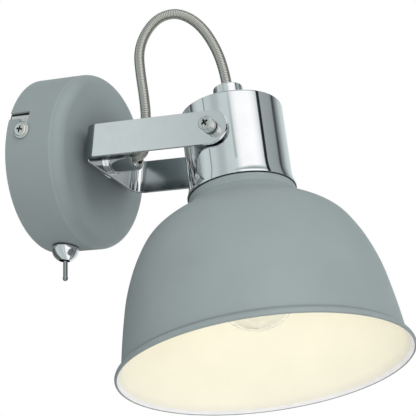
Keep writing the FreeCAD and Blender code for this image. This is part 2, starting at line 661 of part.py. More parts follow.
def make_gland():
    """The gland on top of the cup, its hollow nipple and the nut under the cup's top."""
    head_node("head_gland", turned("gland_turned", [
        ("stud_radius", "cup_top"), ("gland_radius - 0.4", "cup_top"), ("gland_radius", "cup_top + 0.4", 0.4, 1),
        ("gland_radius", "gland_top - 0.6"), ("gland_radius - 0.6", "gland_top", 0.6, 1),
        ("conduit_radius + 0.08", "gland_top"), ("conduit_radius + 0.08", "gland_seat"),
        (1.7, "gland_seat"), (1.7, "gland_seat - 2"), ("stud_radius", "gland_seat - 2"),
    ]))
    head_node("head_nipple", turned("nipple_turned",
                                    ring_outline("stud_bore", "stud_radius", "-holder_top - 1", "gland_seat - 2")))
    head_node("head_lock_nut", cut("head_nut_cut",
                                   hexagon("head_nut_hex", 14, 3, x=0, y=0, z="cup_top - cup_wall - 3"),
                                   cylinder("head_nut_hole", "stud_radius", 12, x=0, y=0, z="cup_top - 10")))


def make_pivots():
    """Cross-head pivot screws with outer washers, inner spacers and nuts inside the cup."""
    seat = "0 - yoke_half - 0.05 - washer_thick"
    rim = "pivot_head_tall - 0.5"
    screw = fuse("pivot_screw_metal",
                 cylinder("pivot_shank", "pivot_shank", "yoke_half + 0.05 + washer_thick - nut_seat + 0.7",
                          axis="-X", x="0.7 - nut_seat", y=0, z=0),
                 cylinder("pivot_head", "pivot_head_radius", rim, axis="-X", x=seat, y=0, z=0),
                 cone("pivot_crown", "pivot_head_radius", "pivot_head_radius - 0.5", 0.5, axis="-X",
                      x="%s - (%s)" % (seat, rim), y=0, z=0))
    recess = cross_recess("pivot_recess", 4.8, 1.2, 2.4, "X", x="%s - pivot_head_tall - 0.01" % seat, y=0, z=0)
    head_node("pivot_screws", both_sides("pivot_screw_pair", cut("pivot_screw_near", screw, recess)))
    groove = cut("washer_groove",
                 cylinder("groove_outside", "washer_radius + 1", 0.5, axis="-X", x="-yoke_half - 0.05", y=0, z=0),
                 cylinder("groove_root", "washer_radius - 0.6", 0.5, axis="-X", x="-yoke_half - 0.05", y=0, z=0))
    washer = cut("pivot_washer_near",
                 cylinder("washer_disc", "washer_radius", "washer_thick", axis="-X", x="-yoke_half - 0.05", y=0, z=0),
                 cylinder("washer_hole", "pivot_shank + 0.1", 4, axis="-X", x="1 - yoke_half", y=0, z=0), groove)
    head_node("pivot_washers", both_sides("pivot_washer_pair", washer))
    spacer_in, spacer_out = "cup_radius + 0.04", "yoke_half - strip_thick - 0.05"
    spacer = cut("pivot_spacer_near",
                 cylinder("spacer_ring", "washer_radius + 0.5", "%s - (%s)" % (spacer_out, spacer_in), axis="-X",
                          x="-(%s)" % spacer_in, y=0, z=0),
                 cylinder("spacer_ring_hole", "pivot_shank + 0.1", 6, axis="-X", x="-cup_radius + 2", y=0, z=0))
    head_node("pivot_spacers", both_sides("pivot_spacer_pair", spacer))
    nut = cut("pivot_nut_near",
              hexagon("pivot_nut_hex", 7, 3, axis="-X", x="-nut_seat", y=0, z=0),
              cylinder("pivot_nut_hole", "pivot_shank", 6, axis="-X", x="1.1 - nut_seat", y=0, z=0))
    head_node("pivot_nuts", both_sides("pivot_nut_pair", nut))


def make_lampholder():
    """The lampholder: body with collar, threaded shell, centre contact and shade ring nut."""
    head_node("lampholder_body", turned("holder_turned", [
        ("stud_radius + 0.03", -3), ("stud_radius + 3", -3), ("holder_radius", "-holder_top - 2"),
        ("holder_radius", "2.2 - cup_foot"), ("collar_radius", "2.2 - cup_foot"),
        ("collar_radius", "0.02 - cup_foot"), ("holder_radius", "0.02 - cup_foot"),
        ("holder_radius", "-holder_mouth"), ("thread_radius + 1", "-holder_mouth"),
        ("thread_radius + 1", -22), (2, -22), (2, "-holder_top - 1.02"), ("stud_radius + 0.03", "-holder_top - 1.02"),
    ]))
    head_node("lampholder_shell", turned("shell_turned",
                                         ring_outline("thread_radius", "thread_radius + 1", -46, -28)))
    head_node("lampholder_contact", turned("contact_turned", [
        (0, -22), (2.6, -22), (2.6, -22.6), (1.6, -24.5), (0, -24.5)]))
    head_node("shade_ring_nut", turned("ring_nut_turned", [
        ("holder_radius + 0.02", "-cup_foot - shade_wall - 0.04"), (18.5, "-cup_foot - shade_wall - 0.04"),
        (18.5, "-cup_foot - shade_wall - 2"), (16.4, "-cup_foot - shade_wall - 2"),
        (16.4, "-cup_foot - shade_wall - 8"), ("holder_radius + 0.02", "-cup_foot - shade_wall - 8"),
    ]))


# outer profile of the shade, as (radius, distance below the pivot) from its shoulder to its lip
SHADE_PROFILE = [(34.6, 38.2), (41.4, 42), (51.2, 50), (57.5, 60), (61.9, 70), (65.1, 80), (67.6, 92),
                 (69.6, 104)]


def make_shade():
    """The spun shade: flat top on the holder, short neck, full shoulder, long side, rolled lip."""
    wall = cell("shade_wall")
    top, neck = -cell("cup_foot") - 0.02, cell("neck_radius")
    root = Vector(cell("lip_root_radius"), 0, -cell("lip_root"))
    rim = Vector(cell("shade_radius"), 0, 0.4 - cell("shade_foot"))
    lip_in = Vector(cell("lip_inside_radius"), 0, -cell("lip_inside"))
    outer_points = [Vector(neck, 0, top - 4.4)] + [Vector(r, 0, -depth) for r, depth in SHADE_PROFILE] + [root]
    side = Part.BSplineCurve()
    side.interpolate(outer_points, InitialTangent=Vector(0.25, 0, -1), FinalTangent=Vector(0.1, 0, -1))
    inner = []
    for point in outer_points[:-1]:
        along = side.tangent(side.parameter(point))[0]
        inner.append(point + Vector(along.z, 0, -along.x) * wall)
    inner.append(root + Vector(-wall, 0, 0))
    inner.append(lip_in)
    inside = Part.BSplineCurve()
    inside.interpolate(inner, InitialTangent=Vector(0.25, 0, -1), FinalTangent=Vector(0.8, 0, -1))
    hole = cell("shade_hole")
    corners = [inner[0], Vector(neck - wall, 0, top - wall), Vector(hole, 0, top - wall), Vector(hole, 0, top),
               Vector(neck - 1, 0, top)]
    edges = [Part.LineSegment(a, b).toShape() for a, b in zip(corners, corners[1:])]
    bend = Vector(neck - 1 + math.sin(math.pi / 4), 0, top - 1 + math.cos(math.pi / 4))
    edges.append(Part.Arc(corners[-1], bend, Vector(neck, 0, top - 1)).toShape())
    edges.append(Part.LineSegment(Vector(neck, 0, top - 1), outer_points[0]).toShape())
    edges.append(side.toShape())
    bead = (root + rim) * 0.5 + Vector(0.85, 0, 0.6)
    edges.append(Part.Arc(root, bead, rim).toShape())
    rim_low = rim + Vector(-0.9, 0, -1.0)
    edges.append(Part.Arc(rim, rim + Vector(-0.2, 0, -0.65), rim_low).toShape())
    edges.append(Part.LineSegment(rim_low, lip_in).toShape())
    edges.append(inside.toShape())
    outline = Part.Wire(Part.__sortEdges__(edges))
    shade = doc.addObject("Part::Feature", "shade_spun")
    shade.Shape = Part.Face(outline).revolve(Vector(0, 0, 0), Vector(0, 0, 1), 360)
    head_node("shade", shade)


def make_bulb():
    """The small globe bulb: glass envelope, cap, end contact, glass stem and filament."""
    centre = "globe_radius - bulb_tip"
    inner = "globe_radius - glass_wall"
    neck_top = 47.4
    join = 0.82
    height = "sqrt(1 - %s ^ 2)" % join
    head_node("bulb_glass", turned("glass_turned", [
        ("bulb_neck - glass_wall", -neck_top), ("bulb_neck", -neck_top), ("bulb_neck", -neck_top - 3.6),
        ("%s * globe_radius" % join, "%s + %s * globe_radius" % (centre, height), 30, 1),
        (0, "-bulb_tip", "globe_radius", -1),
        (0, "glass_wall - bulb_tip"),
        ("%s * (%s)" % (join, inner), "%s + %s * (%s)" % (centre, height, inner), inner, 1),
        ("bulb_neck - glass_wall", -neck_top - 3.6, 30.8, -1),
    ]))
    head_node("bulb_cap", turned("cap_turned", [
        (0, -27), ("cap_radius - 1.2", -27), ("cap_radius", -29),
        ("cap_radius", "-holder_mouth"), ("bulb_neck", "-holder_mouth"), ("bulb_neck", -neck_top),
        (0, -neck_top)]))
    head_node("bulb_contact", turned("bulb_contact_turned", [(0, -24.5), (2.2, -24.5), (3.2, -27), (0, -27)]))
    head_node("bulb_stem", turned("bulb_stem_turned", [
        (0, -neck_top), (4, -neck_top), (2.2, -52), (1.6, -66), (0, -66)]))
    legs = [cylinder("leg_" + side, 0.4, 12.6, axis="-Z", x=x, y=0, z=-66.4)
            for side, x in (("left", -3), ("right", 3))]
    coil = cylinder("filament_coil", 0.6, 6.6, axis="X", x=-3.3, y=0, z=-79)
    foot = box("leg_foot", (6.8, 0.8, 0.8), (-3.4, -0.4, -66.8))
    head_node("bulb_filament", fuse("filament_wire", *legs, coil, foot))


# ---------------------------------------------------------------- build and write

def build():
    """Makes every sub-part, checks the document and writes one file for each sub-part."""
    make_wall_bracket()
    make_canopy()
    make_side_screws()
    make_terminal_block()
    make_earth_screw()
    make_switch()
    make_lever()
    make_swivel()
    make_yoke()
    make_conduit()
    make_cup()
    make_gland()
    make_pivots()
    make_lampholder()
    make_shade()
    make_bulb()
    doc.recompute()
    faults = [thing.Name for thing in doc.Objects if {"Invalid", "Error"} & set(thing.State)]
    if faults:
        raise RuntimeError("failed objects: " + ", ".join(faults))
    bad = [piece.Label for piece in nodes
           if piece.Shape.isNull() or not piece.Shape.isValid() or not piece.Shape.Solids]
    if bad:
        raise RuntimeError("no valid shape: " + ", ".join(bad))
    os.makedirs("parts", exist_ok=True)
    for piece in nodes:
        piece.Shape.exportStep("parts/%s.step" % piece.Label)
    print("wrote %d sub-parts" % len(nodes))


build()
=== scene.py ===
"""Bedside wall reading lamp, dressed around its solid frame: painted, chromed and nickelled finishes."""
import math

import bmesh
import bpy
import numpy as np
from bpy.props import FloatProperty, FloatVectorProperty, IntProperty, PointerProperty
from mathutils import Matrix, Vector


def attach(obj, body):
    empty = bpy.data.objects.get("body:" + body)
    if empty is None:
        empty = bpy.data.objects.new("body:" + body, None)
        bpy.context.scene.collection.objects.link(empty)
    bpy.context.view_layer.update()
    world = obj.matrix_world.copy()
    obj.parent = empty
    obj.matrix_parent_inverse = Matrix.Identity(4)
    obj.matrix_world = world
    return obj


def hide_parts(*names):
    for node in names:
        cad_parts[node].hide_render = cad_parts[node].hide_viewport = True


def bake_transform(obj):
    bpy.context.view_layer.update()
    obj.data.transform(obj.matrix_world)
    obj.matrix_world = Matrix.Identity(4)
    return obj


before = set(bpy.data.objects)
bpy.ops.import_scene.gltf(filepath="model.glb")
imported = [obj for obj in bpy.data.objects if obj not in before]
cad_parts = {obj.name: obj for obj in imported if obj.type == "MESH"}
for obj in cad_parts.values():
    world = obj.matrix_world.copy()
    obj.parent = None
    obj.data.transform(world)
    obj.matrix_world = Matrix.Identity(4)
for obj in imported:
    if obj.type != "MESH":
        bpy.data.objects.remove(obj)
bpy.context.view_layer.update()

bl_info = {
    "name": "Wall reading lamp",
    "version": (1, 0, 0),
    "blender": (4, 5, 0),
    "location": "3D View > Sidebar > Lamp",
    "description": "Builds the looks of a wall reading lamp round its solid frame",
    "category": "Object",
}

MM = 0.001
TILT = math.radians(12.0)
PIVOT = Vector((0.0, -0.1115, 0.0))
# the head's axis, from the pivot down through the shade
HEAD_DOWN = Vector((0.0, -math.sin(TILT), -math.cos(TILT)))
# the camera's place, and its right, up and backward axes
CAMERA_PLACE = (-0.77742, -0.51168, -0.32449)
CAMERA_AXES = ((0.44811, -0.89123, 0.07003), (-0.31176, -0.08237, 0.94658), (-0.83786, -0.44601, -0.31476))
# the points that a rounded corner of a profile has
ARC_POINTS = 6


# ---------------------------------------------------------------- sizes and colours

class LampSizes(bpy.types.PropertyGroup):
    """Sizes of the visible surfaces."""
    paint_grain: FloatProperty(name="Paint grain", description="Size of the powder coat's orange peel",
                               default=0.0006, unit="LENGTH")
    hose_ribs: IntProperty(name="Hose ribs", description="Turns of the conduit's strip", default=180)
    hose_depth: FloatProperty(name="Hose rib depth", description="Depth of the groove between two turns",
                              default=0.00032, unit="LENGTH")
    segments: IntProperty(name="Segments", description="Steps round the large turned pieces", default=240)


def colour_setting(name, description, default):
    """A colour that can be changed in the scene's settings."""
    return FloatVectorProperty(name=name, description=description, default=default, subtype="COLOR", size=3)


class LampColours(bpy.types.PropertyGroup):
    """Colours of the finishes."""
    paint: colour_setting("Grey paint", "Powder coat of the canopy and shade", (0.302, 0.353, 0.357))
    enamel: colour_setting("Cream enamel", "Inside of the shade", (0.90, 0.875, 0.76))
    chrome: colour_setting("Chrome", "Polished plating", (0.88, 0.89, 0.90))
    # painted shade: the darker plating of the arms' inner faces and the bends
    shaded_chrome: colour_setting("Inner plating", "Plating darkened as painted shade on the arms and bends", (0.30, 0.335, 0.345))
    nickel: colour_setting("Nickel", "The conduit's strip", (0.73, 0.71, 0.65))
    zinc: colour_setting("Zinc", "Plated bracket and screws", (0.86, 0.86, 0.83))


# ---------------------------------------------------------------- shader maths

def add_node(tree, kind, inputs=None):
    """A shader node whose inputs, known by name or place, are joined to wires or set to values."""
    node = tree.nodes.new("ShaderNode" + kind)
    for key, value in (inputs or {}).items():
        if isinstance(value, Wire):
            tree.links.new(value.socket, node.inputs[key])
        else:
            node.inputs[key].default_value = value
    return node


def of_two(operation, swapped=False):
    """A method of Wire that joins it with another value, which comes first where they are swapped."""
    def method(self, other):
        return self._maths(operation, other, self) if swapped else self._maths(operation, self, other)
    return method


class Wire:
    """A socket of a node tree, so that shader maths reads as a plain Python expression."""

    def __init__(self, tree, socket):
        self.tree, self.socket = tree, socket

    def _maths(self, operation, *values):
        step = add_node(self.tree, "Math", dict(enumerate(values)))
        step.operation = operation
        return Wire(self.tree, step.outputs[0])

    __add__, __radd__ = of_two("ADD"), of_two("ADD", swapped=True)
    __sub__, __rsub__ = of_two("SUBTRACT"), of_two("SUBTRACT", swapped=True)
    __mul__, __rmul__ = of_two("MULTIPLY"), of_two("MULTIPLY", swapped=True)
    __truediv__, __pow__ = of_two("DIVIDE"), of_two("POWER")
    smaller, angle_over = of_two("MINIMUM"), of_two("ARCTAN2")

    def sine(self):
        return self._maths("SINE", self)

    def step(self, low, high):
        """Rises smoothly from 0 at low to 1 at high."""
        ramp = add_node(self.tree, "MapRange", {"Value": self, "From Min": low, "From Max": high})
        ramp.interpolation_type = "SMOOTHSTEP"
        return Wire(self.tree, ramp.outputs["Result"])

    def band(self, low, high, soft):
        """Is 1 between low and high, with soft edges."""
        return self.step(low - soft, low + soft) * (1.0 - self.step(high - soft, high + soft))

    def blend(self, dark, light):
        """A colour between dark and light, by this value."""
        mix = add_node(self.tree, "Mix", {"Factor": self})
        mix.data_type = "RGBA"
        for name, value in (("A", dark), ("B", light)):
            slot = next(s for s in mix.inputs if s.name == name and s.type == "RGBA")
            if isinstance(value, Wire):
                self.tree.links.new(value.socket, slot)
            else:
                slot.default_value = (*value, 1.0)
        return Wire(self.tree, next(s for s in mix.outputs if s.type == "RGBA"))

    def parts(self):
        """The three coordinates, each as a wire."""
        split = add_node(self.tree, "SeparateXYZ", {0: self})
        return [Wire(self.tree, out) for out in split.outputs]


class Finish:
    """A material under construction: its tree, its surface shader and its coordinates."""

    def __init__(self, name, **constants):
        self.material = bpy.data.materials.new(name)
        self.material.use_nodes = True
        self.tree = self.material.node_tree
        self.surface = next(n for n in self.tree.nodes if n.type == "BSDF_PRINCIPLED")
        self.coords = add_node(self.tree, "TexCoord")
        for key, value in constants.items():
            socket = self.surface.inputs[key.replace("_", " ").title().replace("Ior", "IOR")]
            socket.default_value = (*value, 1.0) if socket.type == "RGBA" else value

    def place(self, source="Object"):
        """Where on the piece a point lies, as a wire."""
        return Wire(self.tree, self.coords.outputs[source])

    def noise(self, size, detail, stretch=(1, 1, 1)):
        """Noise with blotches of about the given size in metres."""
        scale = [s / size for s in stretch]
        scaled = add_node(self.tree, "Mapping", {"Scale": scale, "Vector": self.place()})
        noise = add_node(self.tree, "TexNoise", {
            "Scale": 1.0, "Detail": detail, "Roughness": 0.55, "Vector": Wire(self.tree, scaled.outputs[0])})
        return Wire(self.tree, noise.outputs[0])

    def feed(self, name, wire):
        """Joins a wire to one of the surface shader's sockets."""
        self.tree.links.new(wire.socket, self.surface.inputs[name])

    def bump(self, height, depth, strength):
        """Relief of the given depth in metres."""
        bump = add_node(self.tree, "Bump", {"Strength": strength, "Distance": depth, "Height": height})
        self.tree.links.new(bump.outputs["Normal"], self.surface.inputs["Normal"])


def tinted(colour, factor):
    """The colour made lighter or darker by a factor."""
    return tuple(min(1.0, c * factor) for c in colour)


def powder_coat(name, colour, grain):
    """Matt powder coat: fine orange peel, and a faint unevenness of tone and sheen."""
    finish = Finish(name, roughness=0.5, metallic=0.0)
    cloud, peel = finish.noise(0.03, 2.0), finish.noise(grain, 2.0)
    speck = finish.noise(grain * 0.5, 1.0)
    coat = (cloud * 0.6 + speck * 0.4).step(0.3, 0.7).blend(tinted(colour, 0.96), tinted(colour, 1.04))
    finish.feed("Roughness", 0.42 + 0.12 * peel)
    finish.bump(peel, 0.00004, 0.35)
    return finish, coat


def canopy_coat(colour, grain):
    """The powder coat on the canopy, with a painted highlight along the drawn edge and painted shade round
    the swivel.
    """
    finish, coat = powder_coat("canopy_powder_coat", colour, grain)
    x, y, z = finish.place().parts()
    front, behind_front = -0.0322, -0.0315
    dark_to, plain_from = 0.014, 0.040
    highlight_front, highlight_back, highlight_soft = -0.0275, -0.0264, 0.0005
    reach = (x * x + z * z) ** 0.5
    # painted shade on the front face, darkest round the swivel
    dim = (1.0 - reach.step(dark_to, plain_from)) * (1.0 - y.step(front, behind_front))
    # painted highlight: a pale line along the drawn edge
    edge = y.band(highlight_front, highlight_back, highlight_soft) * 0.45
    finish.feed("Base Color", edge.blend(dim.blend(coat, tinted(colour, 0.62)), tinted(colour, 1.30)))
    return finish.material


def shade_coat(colour, grain):
    """The powder coat on the shade, with painted shade: a dark band in the crease above the lip."""
    finish, coat = powder_coat("shade_powder_coat", colour, grain)
    _, y, z = finish.place().parts()
    crease_top, crease_foot, soft = 0.1163, 0.1179, 0.0006
    down = (y - PIVOT.y) * HEAD_DOWN.y + z * HEAD_DOWN.z
    # painted shade: a dark band in the crease above the lip
    crease = down.band(crease_top, crease_foot, soft) * 0.5
    finish.feed("Base Color", crease.blend(coat, tinted(colour, 0.55)))
    return finish.material


def cream_enamel(colour):
    """Cream stove enamel, smooth, with a faint unevenness, and a faint warm glow painted in as the light of
    the lit bulb.
    """
    # painted light: the enamel glows faintly and warmly
    finish = Finish("cream_enamel", roughness=0.45, emission_color=(1.0, 0.95, 0.80), emission_strength=0.08)
    cloud, peel = finish.noise(0.025, 2.0), finish.noise(0.0012, 2.0)
    finish.feed("Base Color", cloud.step(0.3, 0.7).blend(tinted(colour, 0.98), tinted(colour, 1.01)))
    finish.feed("Roughness", 0.4 + 0.1 * peel)
    finish.bump(peel, 0.00003, 0.3)
    return finish.material


def bare_edge():
    """The pale unglazed edge inside the lip, with a slight unevenness and a faint painted glow that keeps it
    pale.
    """
    # painted light: a faint glow that keeps the edge pale
    finish = Finish("pale_lip_edge", roughness=0.5, emission_color=(0.97, 0.93, 1.0), emission_strength=0.12)
    patch = finish.noise(0.006, 3.0)
    finish.feed("Base Color", patch.step(0.35, 0.65).blend((0.86, 0.84, 0.86), (0.92, 0.90, 0.92)))
    finish.feed("Roughness", 0.45 + 0.1 * patch)
    return finish.material


def polished_chrome(name, colour, rough=0.035, painted_shade_colour=None):
    """Polished plating: a deep mirror with a trace of polishing haze and wipe marks.

    Where a shade colour is given, the plating passes to it from the wall outwards, a painted shade that dims
    the mirror towards the arm tips.
    """
    finish = Finish(name, metallic=1.0)
    haze, wipe = finish.noise(0.008, 4.0), finish.noise(0.0015, 2.0, stretch=(1, 1, 0.15))
    plating = haze.step(0.2, 0.8).blend(tinted(colour, 0.97), tinted(colour, 1.02))
    if painted_shade_colour:
        arm_tip, plate = -0.14, -0.055
        # painted shade: the plating darkens towards the arm tips
        plating = finish.place().parts()[1].step(arm_tip, plate).blend(painted_shade_colour, plating)
    finish.feed("Base Color", plating)
    finish.feed("Roughness", rough + 0.03 * haze + 0.02 * wipe)
    finish.bump(finish.noise(0.02, 1.0), 0.00002, 0.2)
    return finish.material


def nickel_strip(colour, ribs):
    """Nickelled strip of the hose: bright and glossy on each turn's crown, and dull in the groove, where its
    colour is darkened as painted shade.
    """
    finish = Finish("nickel_strip", metallic=1.0)
    along = finish.place("UV").parts()[1]
    groove = ((along * (math.pi * ribs)).sine() ** 2.0).step(0.0, 0.55)
    cloud = finish.noise(0.006, 3.0)
    crown = cloud.blend(tinted(colour, 0.92), tinted(colour, 1.06))
    # painted shade: the colour darkens in the groove between two turns
    finish.feed("Base Color", groove.blend(tinted(colour, 0.45), crown))
    finish.feed("Roughness", 0.36 - 0.20 * groove + 0.06 * cloud)
    return finish.material


def plated_steel(name, colour, rough=0.32):
    """Zinc or brass finish with a soft grain and faint blotches."""
    finish = Finish(name, metallic=1.0)
    blotch, grain = finish.noise(0.004, 4.0), finish.noise(0.0006, 2.0, stretch=(0.2, 1, 1))
    finish.feed("Base Color", blotch.step(0.25, 0.75).blend(tinted(colour, 0.86), tinted(colour, 1.08)))
    finish.feed("Roughness", rough + 0.12 * grain)
    finish.bump(grain, 0.00002, 0.25)
    return finish.material


def moulded_plastic(name, colour, rough=0.4):
    """Moulded plastic with a fine spark-eroded grain."""
    finish = Finish(name)
    grain = finish.noise(0.0004, 2.0)
    finish.feed("Base Color", finish.noise(0.01, 2.0).blend(tinted(colour, 0.92), tinted(colour, 1.08)))
    finish.feed("Roughness", rough + 0.15 * grain)
    finish.bump(grain, 0.00002, 0.3)
    return finish.material


def clear_glass():
    """Clear bulb glass with a very faint waviness."""
    finish = Finish("clear_glass", roughness=0.0, transmission_weight=1.0, ior=1.45,
                    base_color=(0.985, 0.99, 0.985))
    finish.bump(finish.noise(0.01, 1.0), 0.00002, 0.15)
    return finish.material


def drawn_wire():
    """Dull grey drawn wire."""
    finish = Finish("drawn_wire", metallic=1.0)
    finish.feed("Base Color", finish.noise(0.001, 2.0).blend((0.25, 0.25, 0.25), (0.4, 0.4, 0.4)))
    finish.feed("Roughness", 0.4 + 0.2 * finish.noise(0.0005, 2.0))
    return finish.material


FINISHES = {}


def make_finishes(colours, sizes):
    """All of the lamp's materials, once."""
    FINISHES.update({
        "shade paint": shade_coat(colours.paint, sizes.paint_grain),
        "canopy paint": canopy_coat(colours.paint, sizes.paint_grain),
        "enamel": cream_enamel(colours.enamel),
        "edge": bare_edge(),
        "chrome": polished_chrome("polished_chrome", colours.chrome),
        # a darker, rougher copy of the chrome: painted shade on the arms' inner faces and the bends' outer
        # faces
        "painted shade chrome": polished_chrome("painted_shade_chrome", colours.shaded_chrome, 0.16),
        # the yoke's plating, darkened towards the arm tips as painted shade
        "yoke chrome": polished_chrome("yoke_chrome", (0.97, 0.965, 0.97), 0.035, (0.80, 0.80, 0.81)),
        # a darker copy of the chrome: painted shade on the sleeve's tube, the washers and the lever
        "darkened chrome": polished_chrome("darkened_chrome", (0.36, 0.38, 0.38), 0.09),
        "bright zinc": polished_chrome("bright_zinc", (0.84, 0.84, 0.80), 0.13),
        "screw plate": polished_chrome("screw_plate", (0.70, 0.71, 0.68), 0.06),
        # a dark steel for recesses, grooves, undersides and shadow lines: painted shade
        "recess": plated_steel("shaded_recess", (0.13, 0.135, 0.13), 0.5),
        "nickel": nickel_strip(colours.nickel, sizes.hose_ribs),
        "zinc": plated_steel("zinc_plate", colours.zinc),
        "brass": plated_steel("plain_brass", (0.72, 0.52, 0.24), 0.28),
        "black": moulded_plastic("black_moulding", (0.025, 0.025, 0.027)),
        "white": moulded_plastic("white_moulding", (0.82, 0.81, 0.77)),
        "sheath": moulded_plastic("white_sheath", (0.75, 0.75, 0.72), 0.3),
        "glass": clear_glass(),
        "wire": drawn_wire(),
    })


# ---------------------------------------------------------------- surfaces

def rounded(corners, steps=ARC_POINTS):
    """A profile whose corners (u, v, radius) are rounded: each arc runs between its tangent points."""
    points = []
    count = len(corners)
    for i, (u, v, radius) in enumerate(corners):
        here = np.array((u, v), float)
        back = np.array(corners[i - 1][:2], float) - here
        ahead = np.array(corners[(i + 1) % count][:2], float) - here
        if radius <= 0:
            points.append(here[None])
            continue
        back /= np.linalg.norm(back)
        ahead /= np.linalg.norm(ahead)
        half = math.acos(np.clip(back @ ahead, -1, 1)) / 2
        centre = here + (back + ahead) / np.linalg.norm(back + ahead) * radius / math.sin(half)
        start, end = [here + way * radius / math.tan(half) - centre for way in (back, ahead)]
        turn = math.atan2(start[0] * end[1] - start[1] * end[0], start @ end)
        angles = np.linspace(0, turn, steps)
        points.append(centre + np.stack([start[0] * np.cos(angles) - start[1] * np.sin(angles),
                                         start[0] * np.sin(angles) + start[1] * np.cos(angles)], -1))
    return np.concatenate(points)


def smooth_curve(points, count):
    """A smooth line through the points: cubic pieces whose slopes come from their neighbours."""
    points = np.asarray(points, float)
    gaps = np.linalg.norm(np.diff(points, axis=0), axis=1)
    knots = np.concatenate([[0], np.cumsum(gaps)])
    slopes = np.gradient(points, knots, axis=0, edge_order=2)
    at = np.linspace(0, knots[-1], count)
    i = np.clip(np.searchsorted(knots, at, "right") - 1, 0, len(gaps) - 1)
    h = gaps[i]
    t = (at - knots[i]) / h
    shape = [2 * t ** 3 - 3 * t ** 2 + 1, (t ** 3 - 2 * t ** 2 + t) * h, 3 * t ** 2 - 2 * t ** 3,
             (t ** 3 - t ** 2) * h]
    parts = [points[i], slopes[i], points[i + 1], slopes[i + 1]]
    return sum(s[:, None] * p for s, p in zip(shape, parts))


def arc(u, v, radius, angles, tall=None):
    """Points round (u, v) at the angles, on an ellipse where its half height is given."""
    return np.stack([u + radius * np.cos(angles), v + (tall or radius) * np.sin(angles)], -1)


def directions(line):
    """The unit direction of a line at each of its points."""
    along = np.gradient(line, axis=0)
    return along / np.linalg.norm(along, axis=1)[:, None]


def drawn_in(line, distance):
    """A profile that runs downwards, moved towards the axis by a distance."""
    along = directions(line)
    return line + np.stack([along[:, 1], -along[:, 0]], -1) * distance


def grid_faces(rows, columns, loop_rows=False):
    """The quads of a grid of points whose rows are rings; the last ring joins the first where asked."""
    i = np.arange(rows if loop_rows else rows - 1)
    i, j = [a.ravel() for a in np.meshgrid(i, np.arange(columns), indexing="ij")]
    k, l = (i + 1) % rows, (j + 1) % columns
    return np.stack([i * columns + j, i * columns + l, k * columns + l, k * columns + j], -1)


def new_piece(name, points, faces, finishes, face_finish=None, sharp=40.0, weighted=True):
    """A mesh object from points in millimetres, with doubles merged and its faces pointing outwards."""
    mesh = bpy.data.meshes.new(name)
    mesh.from_pydata((np.asarray(points, float).reshape(-1, 3) * MM).tolist(), [], faces.tolist())
    for finish in finishes:
        mesh.materials.append(FINISHES[finish])
    if face_finish is not None:
        mesh.polygons.foreach_set("material_index", np.asarray(face_finish, np.int32))
    shape = bmesh.new()
    shape.from_mesh(mesh)
    bmesh.ops.remove_doubles(shape, verts=shape.verts, dist=1e-7)
    bmesh.ops.recalc_face_normals(shape, faces=shape.faces)
    shape.to_mesh(mesh)
    shape.free()
    mesh.polygons.foreach_set("use_smooth", np.ones(len(mesh.polygons), bool))
    mesh.set_sharp_from_angle(angle=math.radians(sharp))
    piece = bpy.data.objects.new(name, mesh)
    bpy.context.scene.collection.objects.link(piece)
    if weighted:
        piece.modifiers.new("even_shading", "WEIGHTED_NORMAL").keep_sharp = True
    return piece


def revolved_points(profile, segments, about="Z"):
    """Points (r cos a, r sin a, h) for each profile point (r, h) and angle a, about Z or about Y."""
    angle = np.arange(segments) * (2 * math.pi / segments)
    r, h = np.asarray(profile, float)[:, :1], np.asarray(profile, float)[:, 1:2]
    across, up, along = r * np.cos(angle), r * np.sin(angle), np.broadcast_to(h, (len(profile), segments))
    return np.stack([across, along, up] if about == "Y" else [across, up, along], -1)


def revolved(name, profile, finishes, about="Z", segments=None, closed=True, rows_finish=None, **options):
    """A turned piece: the profile of (radius, height) carried round an axis."""
    segments = segments or bpy.context.scene.lamp_sizes.segments
    points = revolved_points(profile, segments, about)
    faces = grid_faces(len(profile), segments, closed)
    face_finish = None if rows_finish is None else np.repeat(rows_finish, segments)
    return new_piece(name, points, faces, finishes, face_finish, **options)


def move_points(piece, matrix):
    """Moves the piece's own points, so that its object stays at the origin."""
    piece.data.transform(matrix)
    piece.data.update()
    return piece


def to_head():
    """From the head's upright drawing place to its tilted place in the lamp."""
    return Matrix.Translation(PIVOT) @ Matrix.Rotation(-TILT, 4, "X")


def dress(piece, body, node):
    """The piece rides on the body and stands for the solid node, which is hidden."""
    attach(piece, body)
    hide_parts(node)


def joined(name, pieces):
    """Several meshes as one object."""
    with bpy.context.temp_override(active_object=pieces[0], selected_editable_objects=pieces,
                                   selected_objects=pieces, object=pieces[0]):
        bpy.ops.object.join()
    pieces[0].name = name
    pieces[0].data.name = name
    return pieces[0]


